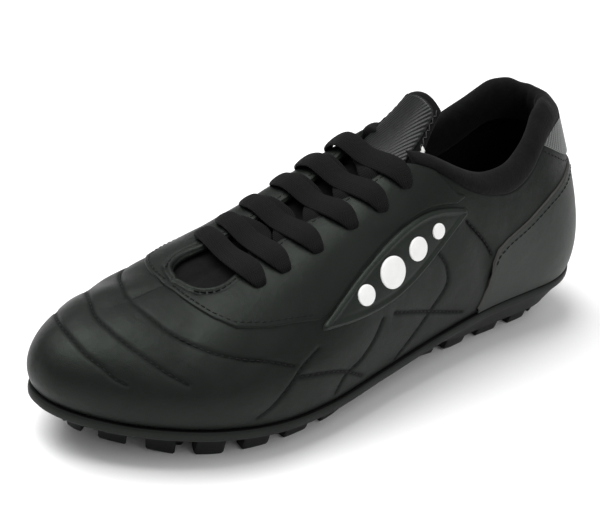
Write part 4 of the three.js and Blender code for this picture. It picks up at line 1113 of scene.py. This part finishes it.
class TURFSHOE_OT_tongue(bpy.types.Operator):
    """Padded tongue with the plain film on its free end"""

    bl_idname = "turf_shoe.tongue"
    bl_label = "Tongue"

    def execute(self, context):
        places = np.linspace(TONGUE_TOP, TONGUE_TIP, 150)[:, None]
        across = np.sin(np.linspace(-np.pi / 2, np.pi / 2, 41))
        thick = 4.5 * (0.35 + 0.65 * (1 - np.abs(across) ** 5))
        end = np.sqrt(np.clip((places - TONGUE_TOP) / 0.012, 0, 1))
        above = tongue_point(places, across, 1.08 * (1 - end))
        below = tongue_point(places, across, thick * (0.6 + 0.4 * end))
        net = Net()
        net.grid(above)
        net.grid(below, flip=True)
        for column, flip in ((0, True), (-1, False)):
            net.grid(np.stack([above[:, column], below[:, column]], axis=1), flip=flip)
        for row, flip in ((0, False), (-1, True)):
            net.grid(np.stack([above[row], below[row]], axis=1), flip=flip)
        thing = net.piece("padded_tongue", [material("tongue_knit", lining_finish, 1.3)], "lining", "tongue")
        self.film()
        self.overlock()
        self.cloth_tab()
        return {"FINISHED"}

    def film(self):
        """Film with rounded corners at its top, raised over the padding"""
        share = np.sin(np.linspace(-np.pi / 2, np.pi / 2, 33))
        top = FILM_TOP + 0.006 * np.clip((np.abs(share) - 0.7) / 0.3, 0, 1) ** 2
        places = top + np.linspace(0, 1, 60)[:, None] * (FILM_LOW - top)
        away = np.minimum(np.minimum(places - top, FILM_LOW - places) * FREE_RUN, (1 - np.abs(share)) * 12)
        lift = np.where(away < 0.05, -0.2, 0.1 + border_profile(away, 1.0, 0.7))
        film, padded = tongue_halves(free_share(places))
        across = share * film / padded
        net = Net()
        net.grid(tongue_point(places, across, -lift), along=(places - TONGUE_TOP) * FREE_RUN,
                 across=across * padded)
        net.piece("tongue_film", [material("brushed_film", film_finish)], "label_film", "tongue_label")

    def overlock(self):
        """Zigzag thread along both edges of the free end"""
        net = Net()
        count = 26
        zigzag = np.where(np.arange(count) % 2, 1, -1)
        for side in SIDES:
            points = tongue_point(np.linspace(0.305, 0.43, count), side * (0.925 + 0.05 * zigzag), -0.15)
            for near, far in zip(points, points[1:]):
                middle = near + (far - near) * STITCH_SHARES[:, None]
                one_stitch(net, middle, np.tile(FACING, (len(middle), 1)))
        finish = material("overlock_thread", thread_finish, 0.03)
        net.piece("tongue_overlock", [finish], "lace", weld=False)

    def cloth_tab(self):
        """Small blank cloth tab sewn into the outer edge of the tongue"""
        places = np.linspace(0.352, 0.370, 8)[:, None]
        across = np.linspace(0.93, 1.09, 8)
        edge = np.sqrt(1 - np.linspace(-1, 1, 8) ** 6)
        net = Net()
        for depth, flip in ((-0.35, False), (0.25, True)):
            net.grid(tongue_point(places, across, depth * edge[:, None] * edge), flip=flip)
        net.piece("tongue_tab", [material("blank_tab_cloth", tab_finish)], "lining")


class TURFSHOE_OT_lace(bpy.types.Operator):
    """Flat woven lace: bars over the throat and the runs that cross under them"""

    bl_idname = "turf_shoe.lace"
    bl_label = "Lace"

    # Height of the lace's middle over the last
    SEAT = 3.25
    # Slack of each bar, and how far its inner end lies towards the toe
    LOOSE = (0.0, 0.3, 0.8, 2.0, 3.2, 4.2)
    TOEWARD = (-2.0, -1.0, 2.0, 4.0, 5.0, 5.0)

    def execute(self, context):
        net = Net()
        for eyelet, loose, toeward in zip(EYELETS, self.LOOSE, self.TOEWARD):
            self.run(net, self.bar(*eyelet, loose, toeward))
        for near, far, loose in zip(EYELETS, EYELETS[1:], self.LOOSE[1:]):
            self.run(net, self.diagonal(near, far, 0.35 * loose))
        net.piece("flat_lace", [material("woven_lace", lace_finish)], "lace", "lace")
        return {"FINISHED"}

    def place_under(self, along, side, girth):
        """Place whose lace lies at a distance from the heel"""
        low, high = 0.3, 0.9
        for _ in range(20):
            place = (low + high) / 2
            if on_last(place, side, girth, self.SEAT)[0] < along:
                low = place
            else:
                high = place
        return (low + high) / 2

    def stop(self, place, side, girth, lift, width):
        """A point on the lace's way with its normal and the share of the width there"""
        normal = soft_normal(turn_of(place, side), girth)
        return (*on_last(place, side, girth, self.SEAT + lift), *normal, width)

    def bar(self, at, girth, loose, toeward):
        """Stops of a bar from the outer to the inner eyelet"""
        along = sum(on_last(at, side, girth, self.SEAT)[0] for side in SIDES) / 2
        stops = []
        for side, share, lift, width, aside in (
                (1, -0.05, -3.0, 0.45, 0.0),
                (1, 0.0, -1.1, 0.62, 0.0),
                (1, 0.14, 0.0, 0.9, 0.07),
                (1, 1.0, 0.3 + 0.5 * loose, 1.05, 0.5),
                (-1, 0.4, 0.1 + 0.45 * loose, 1.0, 0.8),
                (-1, 0.12, -0.1 + 0.1 * loose, 0.9, 0.94),
                (-1, 0.0, -1.1, 0.62, 1.0),
                (-1, -0.05, -3.0, 0.45, 1.0)):
            there = girth + (1 - girth) * share
            place = self.place_under(along + aside * toeward, side, there)
            stops.append(self.stop(place, side, there, lift, width))
        return stops

    def diagonal(self, near, far, slack):
        """Stops of a crossing run from one eyelet to the next one of the other side"""
        rows = (
            (0.05, -1, far[1] + 0.05, -1.0, 0.7),
            (0.2, -1, 0.87, -0.5 + slack, 0.9),
            (0.5, 1, 1.0, -1.5 + slack, 1.0),
            (0.75, 1, 0.92, -2.2 + 0.5 * slack, 0.95),
            (0.88, 1, 0.85, -4.8, 0.8),
        )
        return [self.stop(far[0] + (near[0] - far[0]) * share, *row) for share, *row in rows]

    def run(self, net, stops):
        """Flat band through stops, slightly curled along its edges"""
        samples, run = smooth_path(stops, 72)
        points = samples[:, :3]
        width = samples[:, 6:] * size("lace_width") / 2
        along = unit(np.gradient(points, axis=0))
        across = unit(np.cross(along, samples[:, 3:6]))
        ups = np.cross(across, along)
        angles = np.linspace(0, 2 * np.pi, 28, endpoint=False)
        flat = np.sign(np.cos(angles)) * np.abs(np.cos(angles)) ** 0.8
        tall = np.sign(np.sin(angles)) * np.abs(np.sin(angles)) ** 0.5
        wide = flat * width
        curl = 0.35 * flat ** 2 * width / 4
        high = tall * size("lace_thickness") / 2 - curl
        ring = points[:, None] + across[:, None] * wide[..., None] + ups[:, None] * high[..., None]
        net.grid(ring, closed_v=True, along=run[:, None], across=wide)
        net.cap(ring[0], True)
        net.cap(ring[-1], False)


def outline(turns, margin):
    """Plan outline of the joint line, moved outwards in the plane"""
    step = 0.01
    foot = np.zeros_like(turns)
    along = loop_point(turns + step, foot) - loop_point(turns - step, foot)
    outwards = unit(np.stack([-along[:, 1], along[:, 0]], axis=1))
    return loop_point(turns, foot)[:, :2] + outwards * np.broadcast_to(margin, turns.shape)[:, None]


def raised(plan, height):
    """Points of a plan at a height, or each at its own"""
    height = np.broadcast_to(height, plan.shape[:-1])
    return np.concatenate([plan, height[..., None]], axis=-1)


def across_plan(plan, shares):
    """Rows of plan points from the outer half of a closed outline straight to its inner half"""
    half = len(plan) // 2
    outer = plan[:half + 1, None]
    inner = np.concatenate([plan[:1], plan[:half - 1:-1]])[:, None]
    shares = shares[:, None]
    return outer * (1 - shares) + inner * shares


# Underside: heights in shares of the heel height, the rest in millimetres
FLOOR_LINE = ((0.0, 0.16), (0.06, 0.0), (0.28, 0.0), (0.36, 0.16), (0.50, 0.16), (0.58, 0.0), (0.86, 0.0),
              (1.0, 0.22))
HEEL_HEIGHT = 27.0
LUG_DEPTH = 9.0
LUG_WIDTH = 8.0
LUG_GAP = 9.0
LUG_PITCH = 21.0
SIDE_INSET = ((0.0, 6.0), (0.15, 4.0), (0.30, 2.5), (0.50, 2.5), (0.62, 3.0), (0.80, 4.0), (0.90, 7.0),
              (1.0, 8.5))
UNDERCUT = ((0.0, 8.0), (0.30, 5.5), (0.50, 4.0), (0.62, 3.5), (0.80, 4.0), (0.90, 7.5), (1.0, 9.0))
STUD_RADIUS = 4.4
STUD_PITCH = 20.0
WELT = 1.5
BAND_HEIGHT = 4.5
BAND_STEP = 1.2


def floor_rise(place):
    """Height of the lugs' feet over the floor"""
    return straight_rows(FLOOR_LINE, place) * HEEL_HEIGHT


def plate_level(place):
    """Height of the underside between the lugs"""
    return np.minimum(floor_rise(place) + LUG_DEPTH, section("seat", place) - BAND_HEIGHT - 1)


class TURFSHOE_OT_outsole(bpy.types.Operator):
    """Rubber sole with a band round its rim, side lugs and studs"""

    bl_idname = "turf_shoe.outsole"
    bl_label = "Outsole"

    SHARP_ANGLE = math.radians(38)

    def execute(self, context):
        net = Net()
        turns = loop_turns(420)
        places = places_of(turns)
        seat = section("seat", places)
        under = plate_level(places)
        inset = straight_rows(SIDE_INSET, places)
        foot = seat - BAND_HEIGHT
        step = WELT - BAND_STEP
        profile = (
            (WELT - 3.0, seat - 0.2), (WELT - 1.0, seat), (WELT - 0.25, seat), (WELT + 0.05, seat - 0.25),
            (WELT + 0.35, seat - 1.2), (WELT + 0.4, seat - BAND_HEIGHT / 2), (WELT + 0.3, foot + 0.9),
            (WELT, foot + 0.3), (WELT - 0.35, foot), (step + 0.1, foot - 0.35), (step, foot - 0.8),
            (step - 1.1 - inset, under + 1.0), (step - 1.4 - inset, under + 0.2), (step - 2.0 - inset, under),
            (WELT - 8.0 - inset, under),
        )
        rings = [raised(outline(turns, margin), height) for margin, height in profile]
        net.grid(np.stack(rings, axis=1), closed_u=True)
        for ring, flip in ((rings[0], False), (rings[-1], True)):
            grid = across_plan(ring[:, :2], np.linspace(0, 1, 14))
            net.grid(raised(grid, ring[:len(grid), 2:]), flip=flip)
        margin = BAND_STEP + 1.6 - WELT
        for side in SIDES:
            self.lugs(net, side, margin)
        self.studs(net, margin)
        thing = net.piece("rubber_sole", [material("moulded_rubber", rubber_finish)], "rubber", "outsole")
        edges = thing.modifiers.new("edges", "EDGE_SPLIT")
        edges.split_angle = self.SHARP_ANGLE
        return {"FINISHED"}

    def lugs(self, net, side, margin):
        """Bevelled lugs along one side of the rim"""
        turns = np.linspace(0, 1, 1500)
        if side < 0:
            turns = 2 - turns
        run = run_of(outline(turns, 0.0))
        count = int(run[-1] / LUG_PITCH)
        pitch = run[-1] / count
        for i in range(count):
            start = i * pitch + LUG_GAP / 2
            end = (i + 1) * pitch - LUG_GAP / 2
            at = [start, start + 0.7, *np.linspace(start + 2, end - 2, 4), end - 0.7, end]
            spots = np.interp(at, run, turns)
            places = places_of(spots)
            foot = floor_rise(places)
            head = plate_level(places) + 1.0
            bevel = np.array([0.7, 0, 0, 0, 0, 0, 0, 0.7])
            edge = margin + straight_rows(UNDERCUT, places)
            rear = edge + LUG_WIDTH
            rows = []
            for inset, height in ((edge, head), (edge + 2.3, foot + 0.9), (edge + 2.9, foot + 0.15),
                                  (edge + 3.5, foot), (rear - 0.8, foot), (rear - 0.2, foot + 0.4),
                                  (rear + 1.0, head)):
                lifted = height + np.where(height < head - 1.5, bevel, 0.0)
                rows.append(raised(outline(spots, -inset), lifted))
            grid = np.stack(rows, axis=1)
            net.grid(grid, flip=side < 0)
            for ring, flip in ((grid[0], side < 0), (grid[-1], side > 0)):
                chord = ring[0] + (ring[-1] - ring[0]) * np.linspace(0, 1, len(ring))[:, None]
                net.grid(np.stack([ring, chord]), flip=flip)

    def studs(self, net, margin):
        """Rows of studs inside the ring of lugs"""
        columns = int(LAST_LENGTH / STUD_PITCH)
        for i in range(1, columns):
            place = (i + 0.5) / columns
            around = end_rounding(place)
            keep_off = margin + straight_rows(UNDERCUT, place) + LUG_WIDTH + 1 + STUD_RADIUS * 1.25 + 1.5
            outer = section("lateral", place) * around - keep_off
            inner = section("medial", place) * around - keep_off
            if outer + inner <= 0:
                continue
            across = max(1, int((outer + inner) / STUD_PITCH) + 1)
            shares = [0.5] if across == 1 else np.arange(across) / (across - 1)
            for share in shares:
                self.stud(net, place, section("centre", place) - inner + (outer + inner) * share)

    def stud(self, net, place, y):
        """Six-sided stud with a bevelled foot"""
        foot = floor_rise(place)
        head = plate_level(place) + 1
        angles = np.linspace(0, 2 * np.pi, 6, endpoint=False)
        corners = np.stack([np.sin(angles), -np.cos(angles)], axis=1)
        rings = []
        for share, height in ((1.25, head), (1.04, foot + 0.8), (0.94, foot + 0.1), (0.8, foot), (0.0, foot)):
            rings.append(raised((place * LAST_LENGTH, y) + STUD_RADIUS * share * corners, height))
        net.grid(np.stack(rings), closed_v=True)


class TURFSHOE_OT_insole(bpy.types.Operator):
    """Sock lining with a slight dish along its middle"""

    bl_idname = "turf_shoe.insole"
    bl_label = "Insole"

    THICKNESS = 4.0

    def execute(self, context):
        net = Net()
        turns = loop_turns(240)
        plan = outline(turns, -(WALL + 1.2))
        seat = section("seat", places_of(turns)) + CLEARANCE
        shares = crowded(24)
        grid = across_plan(plan, shares)
        low = seat[:len(grid), None]
        dish = 0.9 * (1 - (2 * shares - 1) ** 2)
        net.grid(raised(grid, low + self.THICKNESS - dish))
        net.grid(raised(grid, low), flip=True)
        net.grid(np.stack([raised(plan, seat + self.THICKNESS), raised(plan, seat)], axis=1), closed_u=True)
        net.piece("sock_lining", [material("sock_knit", lining_finish, 2.2)], "lining", "insole")
        return {"FINISHED"}


class TURFSHOE_OT_seams(bpy.types.Operator):
    """Threads of the quilting and side seams"""

    bl_idname = "turf_shoe.seams"
    bl_label = "Seams"

    # The threads lie this far under the last's surface, at the bottom of their valleys
    DEPTH = 0.95

    def execute(self, context):
        net = Net()
        for line in STITCH_LINES.values():
            for side in SIDES:
                sew(net, line, side, -self.DEPTH)
        for points, normals in toe_arcs():
            stitches(net, points - self.DEPTH * normals, normals)
        net.piece("quilt_stitches", [material("sewing_thread", thread_finish)], "lace", weld=False)
        return {"FINISHED"}


class TURFSHOE_OT_stage(bpy.types.Operator):
    """Camera, pale floor and soft lights"""

    bl_idname = "turf_shoe.stage"
    bl_label = "Stage"

    # The camera as it was fitted to the photo
    CAMERA_PLACE = (0.43759, 0.46381, 0.41120)
    CAMERA_FORWARD = (-0.58373, -0.64493, -0.49328)
    CAMERA_ROLL = 7.34
    CAMERA_LENS = 99.64
    WORLD_STRENGTH = 0.42
    FLOOR_REACH = 8
    # Name, place, target, side in metres and power in watts
    LIGHTS = (
        ("key", (0.38, -0.50, 1.50), (0.03, 0.0, 0.05), 1.3, 36.0),
        ("fill", (-0.2, 1.2, 1.3), (0.0, 0.0, 0.05), 1.4, 8.5),
    )

    def execute(self, context):
        scene = context.scene
        scene.camera = self.camera()
        low = float(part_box("outsole")[0][2])
        corners = [(x * self.FLOOR_REACH, y * self.FLOOR_REACH, low)
                   for x, y in ((-1, -1), (1, -1), (1, 1), (-1, 1))]
        mesh = bpy.data.meshes.new("floor")
        mesh.from_pydata(corners, [], [(0, 1, 2, 3)])
        floor = placed("floor", mesh)
        finish = Finish("pale_floor", (0.95, 0.95, 0.95), 0.6)
        finish.constant(Specular_IOR_Level=0.1)
        mesh.materials.append(finish.material)
        world = bpy.data.worlds.new("studio")
        world.use_nodes = True
        background = world.node_tree.nodes["Background"]
        background.inputs["Color"].default_value = (1.0, 1.0, 1.0, 1.0)
        background.inputs["Strength"].default_value = self.WORLD_STRENGTH
        scene.world = world
        scene.view_settings.view_transform = "Standard"
        for light in self.LIGHTS:
            self.area_light(*light)
        return {"FINISHED"}

    def camera(self):
        camera = bpy.data.cameras.new("photo_camera")
        camera.sensor_width = 36.0
        camera.lens = self.CAMERA_LENS
        camera.clip_start = 0.01
        camera.clip_end = 30.0
        forward = Vector(self.CAMERA_FORWARD).normalized()
        level = forward.cross(Vector((0.0, 0.0, 1.0))).normalized()
        upright = level.cross(forward)
        roll = math.radians(self.CAMERA_ROLL)
        right = level * math.cos(roll) + upright * math.sin(roll)
        turn = Matrix((right, right.cross(forward), -forward)).transposed().to_4x4()
        thing = placed("photo_camera", camera)
        thing.matrix_world = Matrix.Translation(self.CAMERA_PLACE) @ turn
        return thing

    def area_light(self, name, place, target, side, power):
        light = bpy.data.lights.new(name, "AREA")
        light.shape = "RECTANGLE"
        light.size = side
        light.size_y = side
        light.energy = power
        thing = placed(name, light)
        thing.location = place
        thing.rotation_euler = (Vector(target) - Vector(place)).to_track_quat("-Z", "Y").to_euler()


class TURFSHOE_PT_panel(bpy.types.Panel):
    """Sizes, colours and pieces of the turf shoe"""

    bl_label = "Turf Shoe"
    bl_idname = "TURFSHOE_PT_panel"
    bl_space_type = "VIEW_3D"
    bl_region_type = "UI"
    bl_category = "Turf Shoe"

    def draw(self, context):
        layout = self.layout
        for group in (context.scene.turf_shoe_sizes, context.scene.turf_shoe_colours):
            box = layout.box()
            for key in group.__annotations__:
                box.prop(group, key)
        for operator in OPERATORS:
            layout.operator(operator.bl_idname)


OPERATORS = (
    TURFSHOE_OT_stage,
    TURFSHOE_OT_outsole,
    TURFSHOE_OT_insole,
    TURFSHOE_OT_upper,
    TURFSHOE_OT_eyestay,
    TURFSHOE_OT_heel,
    TURFSHOE_OT_badges,
    TURFSHOE_OT_collar,
    TURFSHOE_OT_tongue,
    TURFSHOE_OT_lace,
    TURFSHOE_OT_seams,
)
CLASSES = (ShoeSizes, ShoeColours, *OPERATORS, TURFSHOE_PT_panel)


def register():
    for one in CLASSES:
        bpy.utils.register_class(one)
    bpy.types.Scene.turf_shoe_sizes = bpy.props.PointerProperty(type=ShoeSizes)
    bpy.types.Scene.turf_shoe_colours = bpy.props.PointerProperty(type=ShoeColours)


def unregister():
    del bpy.types.Scene.turf_shoe_sizes
    del bpy.types.Scene.turf_shoe_colours
    for one in reversed(CLASSES):
        bpy.utils.unregister_class(one)


def main():
    register()
    bpy.ops.turf_shoe.stage()
    bpy.ops.turf_shoe.outsole()
    bpy.ops.turf_shoe.insole()
    bpy.ops.turf_shoe.upper()
    bpy.ops.turf_shoe.eyestay()
    bpy.ops.turf_shoe.heel()
    bpy.ops.turf_shoe.badges()
    bpy.ops.turf_shoe.collar()
    bpy.ops.turf_shoe.tongue()
    bpy.ops.turf_shoe.lace()
    bpy.ops.turf_shoe.seams()


if __name__ == "__main__":
    main()
